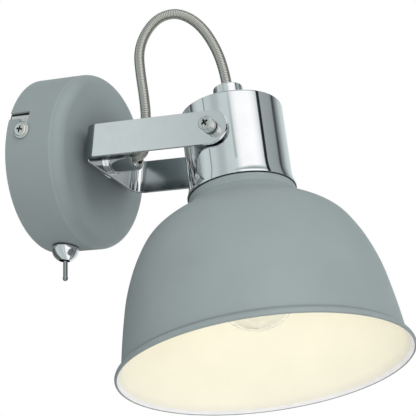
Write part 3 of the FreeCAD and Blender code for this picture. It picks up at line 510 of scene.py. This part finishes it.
def cross_head(name, finish, rings, recess):
    """A screw head about +Z: rings of (radius, height) from the rim, then a crown with a cross recess.

    The crown's height at (u, v) is the crown curve less the recess depth where the point lies in
    either of the two bars of the cross, with a steep smooth wall.
    """
    span, width, depth = recess
    rim = np.array(rings, float)
    radius = rim[-1, 0]
    segments, crown, wall, mostly_sunk = 120, 0.16, 0.045, 0.35
    inner = np.linspace(radius, 0, 46)[1:]
    dome = rim[-1, 1] + (1 - (inner / radius) ** 2) * radius * crown
    profile = np.concatenate([rim, np.stack([inner, dome], -1)])
    points = revolved_points(profile, segments)
    u, v = np.abs(points[..., 0]), np.abs(points[..., 1])

    def inside(value, limit):
        return 1 / (1 + np.exp(np.clip((value - limit) / wall, -40, 40)))

    bars = np.maximum(inside(u, span / 2) * inside(v, width / 2), inside(v, span / 2) * inside(u, width / 2))
    # the recess grows shallower towards the ends of its bars
    slope = np.clip(1.15 - np.hypot(u, v) / span, 0, 1)
    points[..., 2] -= depth * bars * slope
    faces = grid_faces(len(profile), segments)
    # the sunken cross takes the dark recess finish: painted shade
    dark = (bars.ravel()[faces].mean(1) > mostly_sunk).astype(int)
    # the second and third rows are the head's underside and its lower edge, painted dark as shade
    dark[segments:3 * segments] = 1
    return new_piece(name, points, faces, [finish, "recess"], dark, sharp=50)


def facing_out(side, place, spin=0.0):
    """From a piece drawn about +Z to its place on the left (side -1) or right (1), spun by some degrees."""
    return (Matrix.Translation(Vector(place) * MM) @ Matrix.Rotation(math.radians(spin), 4, "X")
            @ Matrix.Rotation(side * math.pi / 2, 4, "Y"))


# ---------------------------------------------------------------- operators

class LAMP_OT_finishes(bpy.types.Operator):
    """Makes the lamp's finishes"""
    bl_idname = "lamp.finishes"
    bl_label = "Finishes"

    def execute(self, context):
        make_finishes(context.scene.lamp_colours, context.scene.lamp_sizes)
        return {"FINISHED"}


class LAMP_OT_canopy(bpy.types.Operator):
    """Drawn canopy cup with an L notch at each side; the notches are cells left out of its grid"""
    bl_idname = "lamp.canopy"
    bl_label = "Canopy"

    def execute(self, context):
        radius, depth, fillet, sheet, bore = 47.3, 32.9, 6.4, 1.2, 5.1
        # the notch is a leg that runs in from the wall's edge, and a slot that drops from the leg's end
        slot_foot, above_foot, leg_foot, leg_head = 0.1, 0.12, 9.9, 14.0
        slot_back, slot_front = -7.0, -12.0
        side = np.concatenate([np.linspace(0, slot_back + 0.2, 6), np.linspace(slot_back, slot_front, 6),
                               np.linspace(slot_front, fillet - depth, 9)[1:]])
        profile = np.concatenate([
            np.stack([np.full(len(side), radius), side], -1),
            arc(radius - fillet, fillet - depth, fillet, np.linspace(0, -math.pi / 2, 14))[1:],
            np.linspace((radius - fillet, -depth), (bore, -depth), 12)[1:]])
        turns = np.arcsin(np.array([0.0, above_foot, leg_foot, leg_head]) / radius)
        half = np.concatenate([np.linspace(low, high, steps, endpoint=False) for low, high, steps in zip(
            turns, [*turns[1:], math.pi], (6, 12, 6, 118))])
        angle = np.concatenate([half, half + math.pi]) + math.pi
        r, h = profile[:, :1], profile[:, 1:]
        # the left side's angles run from level 0 upwards, and the right side's from level 0 downwards
        across, up = r * np.cos(angle), -r * np.sin(angle)
        points = np.stack([across, np.broadcast_to(h, across.shape), up], -1)
        faces = grid_faces(len(profile), len(angle))
        middle = points.reshape(-1, 3)[faces].mean(1)
        level = np.where(middle[:, 0] < 0, middle[:, 2], -middle[:, 2])
        from_wall = middle[:, 1]
        leg_or_slot = (level > leg_foot) | ((level > slot_foot) & (from_wall < slot_back))
        notch = leg_or_slot & (level < leg_head) & (from_wall > slot_front)
        piece = new_piece("canopy_skin", points, faces[~notch], ["canopy paint"], weighted=False)
        wall = piece.modifiers.new("sheet", "SOLIDIFY")
        wall.thickness, wall.offset, wall.use_even_offset = sheet * MM, -1.0, True
        edge = piece.modifiers.new("edges", "BEVEL")
        edge.width, edge.segments, edge.limit_method = 0.25 * MM, 2, "ANGLE"
        edge.angle_limit = math.radians(50)
        piece.modifiers.new("even_shading", "WEIGHTED_NORMAL")
        dress(piece, "wall_base", "canopy")
        return {"FINISHED"}


class LAMP_OT_yoke(bpy.types.Operator):
    """U bracket: a strip section with rounded edges carried along the U, narrowing to round arm ends"""
    bl_idname = "lamp.yoke"
    bl_label = "Yoke"

    def execute(self, context):
        half, thick, width, reach = 29.1, 1.8, 9.1, 111.5
        bend, plate, edge, least = 6.5, -36.7, 0.3, 0.6
        end = -reach + width * -np.sin(np.linspace(math.pi / 2, 0, 30))
        arm = np.concatenate([end[:-1], np.linspace(-reach, plate - bend, 40)])
        left = np.stack([np.full(len(arm), -half), arm], -1)
        left_bend = arc(bend - half, plate - bend, bend, np.linspace(math.pi, math.pi / 2, 20))
        across = np.linspace((bend - half, plate), (0, plate), 16)
        path = np.concatenate([left, left_bend[1:], across[1:]])
        path = np.concatenate([path, (path * (-1, 1))[::-1][1:]])
        along = directions(path)
        outward = np.stack([-along[:, 1], along[:, 0]], -1)
        beyond = np.clip(-reach - path[:, 1], 0, width)
        wide = np.sqrt(np.maximum(width ** 2 - beyond ** 2, least ** 2))
        quarter = arc(thick / 2 - edge, -edge, edge, np.linspace(0, math.pi / 2, 5))
        # a section point is its depth through the strip, its share of the half width, and its inset;
        # the second half of the section is the first half turned by half a turn
        section = [(thick / 2, share, 0.0) for share in np.linspace(-1, 1, 9)[1:-1]]
        section += [(deep, 1.0, inset) for deep, inset in quarter]
        section += [(-deep, 1.0, inset) for deep, inset in quarter[::-1]]
        depth, share, inset = np.concatenate([section, -np.array(section)]).T
        xy = path[:, None] + outward[:, None] * depth[None, :, None]
        z = wide[:, None] * share + inset
        points = np.concatenate([xy, z[..., None]], -1)
        faces = grid_faces(len(path), len(depth))
        inner = (depth < 0) & (np.roll(depth, -1) < 0)
        on_arm = np.abs(path[:-1, 0]) > half - 0.6
        in_bend = (np.abs(path[:-1, 0]) > half - bend) & (path[:-1, 1] > plate - bend - 0.01)
        # the arms' inner faces and the bends' outer faces take the darker plating: painted shade
        shaded = ((on_arm[:, None] & inner[None]) | (in_bend[:, None] & ~inner[None])).ravel().astype(int)
        piece = new_piece("yoke_strip", points, faces, ["yoke chrome", "painted shade chrome"], shaded, sharp=60)
        close_ends(piece)
        dress(piece, "yoke", "yoke_bracket")

        spacer = revolved("swivel_ring", rounded([
            (5.1, -33.0, 0), (9.5, -33.0, 0.5), (9.5, -35.8, 0.3), (5.1, -35.8, 0)]), ["chrome"], "Y", 120)
        dress(spacer, "yoke", "swivel_spacer")
        profile = rounded([
            (5.0, -37.6, 0), (8.1, -37.6, 0.3), (8.1, -39.6, 0.4), (6.8, -39.6, 0.15), (6.8, -53.2, 0.45),
            (5.7, -53.2, 0.3), (5.7, -49.02, 0), (5.0, -49.0, 0)])
        rows = np.zeros(len(profile), int)
        # the tube's outside and its end lie between the third rounded corner and the fifth; they take the
        # darkened chrome, a painted shade
        rows[3 * ARC_POINTS:4 * ARC_POINTS + 1] = 1
        sleeve = revolved("sleeve_skin", profile, ["chrome", "darkened chrome"], "Y", 120, rows_finish=rows)
        dress(sleeve, "yoke", "swivel_sleeve_nut")
        return {"FINISHED"}


def close_ends(piece):
    """Fills the open ends of a tube-like mesh."""
    shape = bmesh.new()
    shape.from_mesh(piece.data)
    bmesh.ops.holes_fill(shape, edges=shape.edges, sides=0)
    bmesh.ops.recalc_face_normals(shape, faces=shape.faces)
    shape.to_mesh(piece.data)
    shape.free()


class LAMP_OT_cup(bpy.types.Operator):
    """Chrome cup and its gland: turned profiles with a flared foot, tilted with the head"""
    bl_idname = "lamp.cup"
    bl_label = "Cup and gland"

    def execute(self, context):
        radius, wall, top, bore = 26.8, 1.2, 19.9, 5.05
        straight, edge, low, foot_radius, flare = -18.4, -26.6, -27.4, 28.4, 21.8
        fall = np.linspace(0, straight - edge, 12)
        swell = flare - np.sqrt(flare ** 2 - fall ** 2)
        outer = np.concatenate([
            rounded([(bore, top, 0), (radius, top, 1.5), (radius, 0, 0)], 10)[:-1],
            np.linspace((radius, 16), (radius, straight), 14),
            np.stack([radius + swell, straight - fall], -1)[1:]])
        foot = rounded([(foot_radius, edge, 0), (foot_radius, low, 0.3), (foot_radius - wall, low, 0.3),
                        (foot_radius - wall, edge, 0)])[1:-1]
        inner = np.concatenate([
            np.stack([radius - wall + swell, straight - fall], -1)[::-1],
            np.array([(radius - wall, 18.0), (24.9, top - wall), (bore, top - wall)])])
        rows = np.zeros(len(outer) + len(foot) + len(inner), int)
        # the shadow line under the foot, from near the end of its outer rounding
        rows[len(outer) + ARC_POINTS - 2:len(outer) + len(foot)] = 1
        profile = np.concatenate([outer, foot, inner])
        cup = revolved("cup_skin", profile, ["chrome", "recess"], rows_finish=rows)
        dress(move_points(cup, to_head()), "head", "head_cup")
        gland = revolved("gland_skin", rounded([
            (5.0, 19.92, 0), (7.9, 19.92, 0.35), (7.9, 34.2, 0.7), (3.0, 34.2, 0.4), (3.0, 27.0, 0),
            (1.7, 27.0, 0), (1.7, 25.0, 0), (5.0, 25.0, 0)]), ["chrome"], segments=120)
        dress(move_points(gland, to_head()), "head", "head_gland")
        return {"FINISHED"}


class LAMP_OT_shade(bpy.types.Operator):
    """Spun shade: a smooth curve through its profile, painted outside and cream inside"""
    bl_idname = "lamp.shade"
    bl_label = "Shade"

    def execute(self, context):
        outline = [(27.8, -31.8), (34.6, -38.2), (41.4, -42), (51.2, -50), (57.5, -60), (61.9, -70),
                   (65.1, -80), (67.6, -92), (69.6, -104), (71.37, -117.3)]
        side = smooth_curve(outline, 90)
        inside = drawn_in(side, 1.0)[:-2]
        inside = np.concatenate([inside[:-1], smooth_curve([inside[-1], (70.9, -118.0), (72.3, -119.8)], 10)])
        top = rounded([(14.1, -27.42, 0), (27.8, -27.42, 1.0), (27.8, -31.0, 0)])
        bead = smooth_curve([(71.45, -117.4), (72.5, -117.65), (73.75, -118.3), (74.65, -119.35),
                             (75.0, -120.5), (74.8, -121.2), (74.1, -121.6)], 26)
        under = np.array([(26.8, -31.0), (26.8, -28.42), (14.1, -28.42)])
        bare_from = np.array([(73.75, -121.25)])
        profile = np.concatenate([top, side, bead, bare_from, inside[::-1], under])
        painted = len(top) + len(side) + len(bead)
        rows = np.full(len(profile), 1)
        rows[:painted] = 0
        rows[painted] = 2
        shade = revolved("shade_skin", profile, ["shade paint", "enamel", "edge"], rows_finish=rows, sharp=32)
        dress(move_points(shade, to_head()), "head", "shade")
        return {"FINISHED"}


# the washer's profile has three points along its groove, painted dark as shade, two rounded corners and one
# at its bore
WASHER_ROWS = [1] * 3 + [0] * (2 * ARC_POINTS + 1)


class LAMP_OT_fasteners(bpy.types.Operator):
    """Side screws, pivot screws, washers and spacers: turned rims, and cross recesses in the screws"""
    bl_idname = "lamp.fasteners"
    bl_label = "Fasteners"

    def execute(self, context):
        heads = []
        for side in (-1, 1):
            head = cross_head("side_screw_%d" % (side + 1), "bright zinc", [
                (2.0, -6.0), (2.0, 0.0), (4.3, 0.0), (4.5, 0.2), (4.5, 0.65), (4.3, 0.85), (3.7, 0.85),
                (3.7, 1.6), (3.55, 1.95), (3.2, 2.2)], (3.7, 0.85, 1.1))
            heads.append(move_points(head, facing_out(side, (side * 47.35, -9.4, side * -2.6), 12)))
        dress(joined("side_screw_heads", heads), "wall_base", "canopy_side_screws")

        heads, washers, spacers = [], [], []
        for side in (-1, 1):
            head = cross_head("pivot_screw_%d" % (side + 1), "screw plate", [
                (2.0, -9.0), (2.0, 0.0), (3.6, 0.0), (3.8, 0.2), (3.8, 4.2), (3.7, 4.5), (3.45, 4.62)],
                (3.7, 0.85, 1.6))
            heads.append(move_points(head, to_head() @ facing_out(side, (side * 31.56, 0, 0), -20)))
            # the washer takes the darkened chrome, and its groove the dark recess finish: painted shade
            washer = revolved("washer_%d" % (side + 1), rounded([
                (2.1, 0, 0), (3.3, 0, 0), (3.3, 0.5, 0), (3.9, 0.5, 0.15), (3.9, 1.5, 0.25), (2.1, 1.5, 0)]),
                ["darkened chrome", "recess"], segments=72, rows_finish=WASHER_ROWS)
            washers.append(move_points(washer, to_head() @ facing_out(side, (side * 30.05, 0, 0))))
            spacer = revolved("spacer_%d" % (side + 1), rounded([
                (2.1, 0, 0), (4.4, 0, 0.15), (4.4, 1.3, 0.15), (2.1, 1.3, 0)]), ["chrome"], segments=72)
            spacers.append(move_points(spacer, to_head() @ facing_out(side, (side * 26.85, 0, 0))))
        dress(joined("pivot_screw_heads", heads), "head", "pivot_screws")
        dress(joined("pivot_washer_rings", washers), "head", "pivot_washers")
        dress(joined("pivot_spacer_rings", spacers), "head", "pivot_spacers")
        return {"FINISHED"}


class LAMP_OT_switch(bpy.types.Operator):
    """Ball nut and toggle lever: a bored ball with a straight collar, and a stem with a round tip"""
    bl_idname = "lamp.switch"
    bl_label = "Switch"

    def execute(self, context):
        ball, bore, top, collar, low = 7.15, 3.0, 1.7, -0.8, -6.43
        fall = np.linspace(0, math.acos((bore + 0.1) / ball), 44)
        tall = (collar - low - 0.1) / math.sin(fall[-1])
        profile = np.concatenate([
            [(bore, top), (ball, top), (ball, 0.55), (ball, 0.0)],
            arc(0, collar, ball, -fall, tall),
            [(bore + 0.02, low), (bore, low + 0.2)]])
        # the seat against the canopy and the bore's mouth lie in shade
        rows = np.zeros(len(profile), int)
        rows[:2] = 1
        rows[-2:] = 1
        nut = revolved("ball_nut_skin", profile, ["chrome", "recess"], segments=96, rows_finish=rows)
        place = Matrix.Translation(Vector((0, -13.5, -48.5)) * MM)
        dress(move_points(nut, place), "wall_base", "switch_ball_nut")

        tip, tip_low, knuckle = 1.45, -15.75, 1.5
        profile = np.concatenate([
            [(0, 3.6), (0.6, 3.6), (0.8, 3.4)],
            arc(0, 0, knuckle, np.linspace(math.pi / 2 - 0.56, -math.pi / 2 + 0.98, 16)),
            [(1.25, -1.6), (1.25, -14.4), (1.4, -15.0)],
            arc(0, tip_low, tip, np.linspace(0, -math.pi / 2, 12))])
        # the stem and the pin take the darkened chrome: painted shade
        stem = revolved("lever_stem", profile, ["darkened chrome"], segments=48, closed=False)
        pin_outline = rounded([(0, -1.8, 0), (0.6, -1.8, 0.1), (0.6, 1.8, 0.1), (0, 1.8, 0)])
        pin = revolved("lever_pin", pin_outline, ["darkened chrome"], "Y", 32, closed=False)
        lever = joined("lever_skin", [stem, pin])
        leaning = place @ Matrix.Rotation(math.radians(-10), 4, "Y")
        dress(move_points(lever, leaning), "switch_lever", "toggle_lever")
        return {"FINISHED"}


# the conduit's way from the sleeve nut to the gland, in millimetres
HOSE_ROUTE = [
    (0, -44, 0), (0, -53, 0), (-5, -60, 1), (-10, -62.5, 8), (-12.5, -63.5, 18), (-12.5, -61, 30),
    (-11.5, -57, 44), (-9.5, -53.6, 57), (-8.2, -55.5, 68), (-6.7, -61.5, 77), (-4.8, -70, 80),
    (-3.2, -78, 77.7), (-2.2, -85.5, 72), (-1.5, -92, 64), (-0.7, -98.5, 52.5),
    (0, -103.495, 37.659), (0, -105.886, 26.410),
]


def hose_line(route):
    """Points along the smooth line that the route's points guide, in millimetres."""
    curve = bpy.data.curves.new("hose_line", "CURVE")
    curve.dimensions = "3D"
    line = curve.splines.new("NURBS")
    line.points.add(len(route) - 1)
    for point, place in zip(line.points, route):
        point.co = (*[c * MM for c in place], 1.0)
    line.order_u = 3
    line.use_endpoint_u = True
    line.resolution_u = 24
    holder = bpy.data.objects.new("hose_line", curve)
    bpy.context.scene.collection.objects.link(holder)
    bpy.context.view_layer.update()
    mesh = bpy.data.meshes.new_from_object(holder)
    points = np.array([v.co for v in mesh.vertices])
    bpy.data.objects.remove(holder)
    bpy.data.meshes.remove(mesh)
    bpy.data.curves.remove(curve)
    return points / MM


def even_stations(points, share):
    """Places and two steady cross axes at shares of the line's length."""
    gaps = np.linalg.norm(np.diff(points, axis=0), axis=1)
    keep = np.concatenate([[True], gaps > 1e-6])
    points = points[keep]
    length = np.concatenate([[0], np.cumsum(np.linalg.norm(np.diff(points, axis=0), axis=1))])

    def places(shares):
        return np.stack([np.interp(shares * length[-1], length, points[:, k]) for k in range(3)], -1)

    at, fine = places(share), places(np.linspace(0, 1, 700))
    slope = np.gradient(fine, axis=0)
    for _ in range(3):
        slope[1:-1] = (slope[:-2] + 2 * slope[1:-1] + slope[2:]) / 4
    slope /= np.linalg.norm(slope, axis=1)[:, None]
    axis = np.empty_like(slope)
    side = np.array((1.0, 0, 0))
    for i, direction in enumerate(slope):
        side = side - direction * (side @ direction)
        side /= np.linalg.norm(side)
        axis[i] = side
    where = share * (len(fine) - 1)
    pick = [np.interp(where, np.arange(len(fine)), a[:, k]) for a in (slope, axis) for k in range(3)]
    direction = np.stack(pick[:3], -1)
    side = np.stack(pick[3:], -1)
    return at, side, np.cross(direction, side)


def tube_mesh(name, route_points, share, radius, finish, around=24):
    """A tube round the line: at each share of its length a ring of the given radius."""
    at, side, up = even_stations(route_points, share)
    angle = np.arange(around) * (2 * math.pi / around)
    ring = side[:, None] * np.cos(angle)[:, None] + up[:, None] * np.sin(angle)[:, None]
    points = at[:, None] + ring * radius[:, None, None]
    faces = grid_faces(len(share), around)
    mesh = bpy.data.meshes.new(name)
    mesh.from_pydata((points.reshape(-1, 3) * MM).tolist(), [], faces[:, ::-1].tolist())
    mesh.materials.append(FINISHES[finish])
    mesh.polygons.foreach_set("use_smooth", np.ones(len(mesh.polygons), bool))
    layer = mesh.uv_layers.new(name="along")
    corner = np.empty(len(mesh.loops), np.int32)
    mesh.loops.foreach_get("vertex_index", corner)
    uv = np.stack([(corner % around) / around, share[corner // around]], -1)
    layer.data.foreach_set("uv", uv.ravel())
    piece = bpy.data.objects.new(name, mesh)
    bpy.context.scene.collection.objects.link(piece)
    close_ends(piece)
    return piece, at


def lay_cord(piece, node):
    """Hides the cord's solid, which runs from the sleeve to the gland, and bakes the piece's place into its
    points.
    """
    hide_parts(node)
    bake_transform(piece)


class LAMP_OT_conduit(bpy.types.Operator):
    """Flexible conduit: a tube along its route whose radius swells once for each turn of the strip"""
    bl_idname = "lamp.conduit"
    bl_label = "Conduit"

    def execute(self, context):
        sizes = context.scene.lamp_sizes
        line = hose_line(HOSE_ROUTE)
        ribs, per_rib = sizes.hose_ribs, 8
        share = np.linspace(0, 1, ribs * per_rib + 1)
        swell = np.abs(np.sin(share * math.pi * ribs)) ** 0.6
        radius = 2.8 - sizes.hose_depth / MM * (1 - swell)
        hose, path = tube_mesh("hose_skin", line, share, radius, "nickel")
        lay_cord(hose, "conduit")
        share = np.linspace(0, 1, 240)
        lead, path = tube_mesh("lead_skin", line, share, np.full(len(share), 1.4), "sheath", 12)
        lay_cord(lead, "conduit_cable")
        return {"FINISHED"}


class LAMP_OT_bulb(bpy.types.Operator):
    """Globe bulb: a thin clear envelope whose neck flows into the globe"""
    bl_idname = "lamp.bulb"
    bl_label = "Bulb"

    def execute(self, context):
        globe, centre, wall = 22.5, -78.5, 0.8
        ball = arc(0, centre, globe, np.linspace(math.asin(0.56), -math.pi / 2, 60))
        neck = smooth_curve([(8.6, -47.4), (8.7, -50.0), (10.8, -54.5), (14.6, -59.8), ball[0]], 30)[:-1]
        outer = np.concatenate([neck, ball])
        inner = drawn_in(outer, wall)
        inner[:, 0] = np.maximum(inner[:, 0], 0)
        profile = np.concatenate([outer, inner[::-1]])
        glass = revolved("globe_glass", profile, ["glass"], segments=120, weighted=False)
        glass.visible_shadow = False
        dress(move_points(glass, to_head()), "head", "bulb_glass")
        return {"FINISHED"}


NODE_FINISHES = {
    "zinc": ["wall_bracket", "terminal_clamp_screws", "terminal_block_screw", "earth_screw", "earth_washer",
             "swivel_stud", "swivel_lock_nut", "swivel_wave_washer", "swivel_stop_washer", "swivel_stop_pin",
             "head_nipple", "head_lock_nut", "pivot_nuts", "bulb_cap"],
    "brass": ["terminal_barrels", "switch_lugs", "lampholder_shell", "lampholder_contact", "bulb_contact"],
    "black": ["switch_body", "lampholder_body", "shade_ring_nut"],
    "white": ["terminal_block"],
    "chrome": ["switch_inner_nut"],
    # the bush deep inside the ball nut is painted dark as shade
    "recess": ["switch_bush"],
    "glass": ["bulb_stem"],
    "wire": ["bulb_filament"],
}


class LAMP_OT_inner_parts(bpy.types.Operator):
    """Gives each solid that stays its finish"""
    bl_idname = "lamp.inner_parts"
    bl_label = "Inner parts"

    def execute(self, context):
        for finish, names in NODE_FINISHES.items():
            for name in names:
                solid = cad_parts[name]
                solid.data.materials.clear()
                solid.data.materials.append(FINISHES[finish])
        return {"FINISHED"}


def soft_lamp(name, place, aim, size, power):
    """A white square soft lamp that faces its aim and shows in no mirror."""
    light = bpy.data.lights.new(name, "AREA")
    light.shape, light.size, light.energy = "SQUARE", size, power
    lamp = bpy.data.objects.new(name, light)
    bpy.context.scene.collection.objects.link(lamp)
    lamp.location = place
    lamp.rotation_euler = (Vector(aim) - Vector(place)).to_track_quat("-Z", "Y").to_euler()
    lamp.visible_glossy = False


def studio_light(turn, height):
    """How bright the studio looks in each direction, by the turn of the mirror that would show it.

    The turn is in degrees about the head's axis, from the camera's side and positive to its right, and
    the stops are (turn, brightness): a dark corner, a grey wall, the big window, a shaded grey wall,
    a dark edge and a wall that grows lighter again. A black pole, a thin line, a seam and a dim ceiling
    lie over them.
    """
    stops = [(-90, 0.20), (-71, 0.17), (-63.7, 0.12), (-59.4, 0.06), (-55.1, 0.09), (-52.5, 0.24),
             (-50.3, 0.10), (-48.2, 0.10), (-45.5, 0.45), (-41.8, 0.60), (-37, 0.67), (-32.2, 0.64),
             (-24.7, 0.62), (-18.9, 0.50), (-14.7, 0.53), (-11.1, 0.65), (-1.5, 0.69), (1.4, 0.90),
             (5.3, 1.06), (20.3, 1.12), (25.7, 0.98), (29.7, 0.74), (35.2, 0.40), (46.2, 0.35),
             (49.9, 0.30), (51.7, 0.07), (53.6, 0.07), (56.4, 0.21), (61.2, 0.42), (66.5, 0.63),
             (84.9, 0.85), (90, 0.90)]
    ramp = add_node(turn.tree, "ValToRGB", {"Fac": (turn + 90.0) / 180.0})
    for i in range(2, len(stops)):
        ramp.color_ramp.elements.new(i / len(stops))
    for stop, (angle, light) in zip(ramp.color_ramp.elements, stops):
        stop.position = (angle + 90) / 180
        stop.color = (light, light, light, 1.0)
    light = Wire(turn.tree, ramp.outputs["Color"])
    pole = turn.band(30.2, 34.0, 0.35)
    line = turn.band(-31.4, -30.2, 0.25)
    seam = turn.band(-2.8, -0.3, 0.7) * (1.0 - height.step(0.47, 0.55))
    ceiling = height.step(0.86, 0.95)
    marks = (1.0 - 0.96 * pole) * (1.0 - 0.6 * line) * (1.0 - 0.35 * seam)
    return light * marks * (1.0 - 0.65 * ceiling)


def one_sided(finish):
    """Lets the camera look through a stage surface from behind."""
    tree = finish.tree
    face, clear, path = [add_node(tree, kind) for kind in ("NewGeometry", "BsdfTransparent", "LightPath")]
    seen_through = Wire(tree, face.outputs["Backfacing"]) * Wire(tree, path.outputs["Is Camera Ray"])
    solid, nothing = Wire(tree, finish.surface.outputs[0]), Wire(tree, clear.outputs[0])
    mix = add_node(tree, "MixShader", {0: seen_through, 1: solid, 2: nothing})
    end = next(n for n in tree.nodes if n.type == "OUTPUT_MATERIAL")
    tree.links.new(mix.outputs[0], end.inputs["Surface"])
    return finish.material


def set_stage(piece, front, name, blotch, dark, light):
    """Turns a flat piece's front to a direction and gives it a matt finish that shows from there."""
    if piece.data.polygons[0].normal @ Vector(front) < 0:
        piece.data.flip_normals()
    finish = Finish(name, roughness=0.9)
    finish.feed("Base Color", finish.noise(blotch, 2.0).blend(dark, light))
    piece.data.materials.append(one_sided(finish))


class LAMP_OT_stage(bpy.types.Operator):
    """Pale floor, studio surroundings, soft lamps and the camera"""
    bl_idname = "lamp.stage"
    bl_label = "Stage"

    def execute(self, context):
        scene = context.scene
        reach, level = 3000, -420
        corners = [(x * reach, y * reach, level) for x, y in ((-1, -1), (1, -1), (1, 1), (-1, 1))]
        floor = new_piece("floor", corners, np.array([[0, 1, 2, 3]]), [], weighted=False)
        floor.visible_glossy = False
        set_stage(floor, (0, 0, 1), "pale_floor", 0.5, (0.8, 0.8, 0.79), (0.84, 0.84, 0.83))

        # the patch of wall that the canopy covers, painted dark as the shade inside the canopy and seen by
        # the camera only; it closes the view through its notches
        rings = revolved_points([(46.0, 0.3), (0.92, 0.3)], 64, "Y")
        patch = new_piece("wall_patch", rings, grid_faces(2, 64), [], weighted=False)
        patch.visible_diffuse = patch.visible_glossy = False
        patch.visible_transmission = patch.visible_shadow = False
        # painted shade: a dark grey for the wall behind the canopy
        set_stage(patch, (0, -1, 0), "painted_shade_wall", 0.02, (0.10, 0.10, 0.10), (0.14, 0.14, 0.14))

        world = bpy.data.worlds.new("studio")
        scene.world = world
        world.use_nodes = True
        tree = world.node_tree
        tree.nodes.clear()
        ways = Wire(tree, add_node(tree, "TexCoord").outputs["Generated"]).parts()
        # the normal of a mirror that would show this direction to the camera, seen along the head's axis
        back = Vector(CAMERA_AXES[2])
        normal = [way + part for way, part in zip(ways, back)]
        front = (back - HEAD_DOWN * (back @ HEAD_DOWN)).normalized()
        right = front.cross(HEAD_DOWN)
        ahead, aside = [normal[0] * axis.x + normal[1] * axis.y + normal[2] * axis.z
                        for axis in (front, right)]
        light = studio_light(aside.angle_over(ahead) * (180 / math.pi), ways[2])
        path = add_node(tree, "LightPath")
        camera, glossy, through = [Wire(tree, path.outputs[n]) for n in (
            "Is Camera Ray", "Is Glossy Ray", "Is Transmission Ray")]
        plain = 1.0 - (camera + glossy + through).smaller(1.0)
        strength = (camera + through).smaller(1.0) + glossy * light + plain * 0.5
        cool = glossy * (1.0 - light.step(0.7, 1.0))
        tint = cool.blend((1.0, 1.0, 1.0), (0.89, 0.995, 1.0))
        background = add_node(tree, "Background", {"Color": tint, "Strength": strength})
        add_node(tree, "OutputWorld", {0: Wire(tree, background.outputs[0])})

        soft_lamp("key_lamp", (-0.9, -0.6, 0.9), (0, -0.08, 0), 0.7, 6.8)
        soft_lamp("fill_lamp", (0.6, -1.2, 0.2), (0, -0.1, -0.05), 0.8, 4.0)
        soft_lamp("low_lamp", (-0.7, -0.5, -0.5), (0, -0.04, -0.04), 0.5, 6.0)
        glow = bpy.data.lights.new("bulb_glow", "POINT")
        glow.energy, glow.color, glow.shadow_soft_size = 0.033, (1.0, 0.97, 0.88), 0.012
        bulb = bpy.data.objects.new("bulb_glow", glow)
        scene.collection.objects.link(bulb)
        bulb.location = to_head() @ Vector((0, 0, -0.086))
        bulb.visible_camera = bulb.visible_glossy = bulb.visible_transmission = False

        camera = bpy.data.objects.new("camera", bpy.data.cameras.new("camera"))
        scene.collection.objects.link(camera)
        camera.data.sensor_fit = "HORIZONTAL"
        camera.data.sensor_width = 36.0
        camera.data.lens = 155.19
        camera.data.clip_start = 0.01
        turn = Matrix(CAMERA_AXES).transposed()
        camera.matrix_world = Matrix.Translation(CAMERA_PLACE) @ turn.to_4x4()
        scene.camera = camera
        scene.view_settings.view_transform = "Standard"
        return {"FINISHED"}


class LAMP_PT_panel(bpy.types.Panel):
    """Lists the lamp's pieces"""
    bl_idname = "LAMP_PT_panel"
    bl_label = "Wall reading lamp"
    bl_space_type = "VIEW_3D"
    bl_region_type = "UI"
    bl_category = "Lamp"

    def draw(self, context):
        for operator in OPERATORS:
            self.layout.operator(operator.bl_idname)


OPERATORS = [LAMP_OT_finishes, LAMP_OT_stage, LAMP_OT_canopy, LAMP_OT_yoke, LAMP_OT_cup, LAMP_OT_shade,
             LAMP_OT_fasteners, LAMP_OT_switch, LAMP_OT_conduit, LAMP_OT_bulb, LAMP_OT_inner_parts]
CLASSES = [LampSizes, LampColours, *OPERATORS, LAMP_PT_panel]


def register():
    """Registers the lamp's classes and its settings."""
    for item in CLASSES:
        bpy.utils.register_class(item)
    bpy.types.Scene.lamp_sizes = PointerProperty(type=LampSizes)
    bpy.types.Scene.lamp_colours = PointerProperty(type=LampColours)


def unregister():
    """Takes the lamp's classes and settings away."""
    del bpy.types.Scene.lamp_colours
    del bpy.types.Scene.lamp_sizes
    for item in reversed(CLASSES):
        bpy.utils.unregister_class(item)


def main():
    """Builds every piece in order."""
    register()
    for operator in OPERATORS:
        group, name = operator.bl_idname.split(".")
        getattr(getattr(bpy.ops, group), name)()


if __name__ == "__main__":
    main()
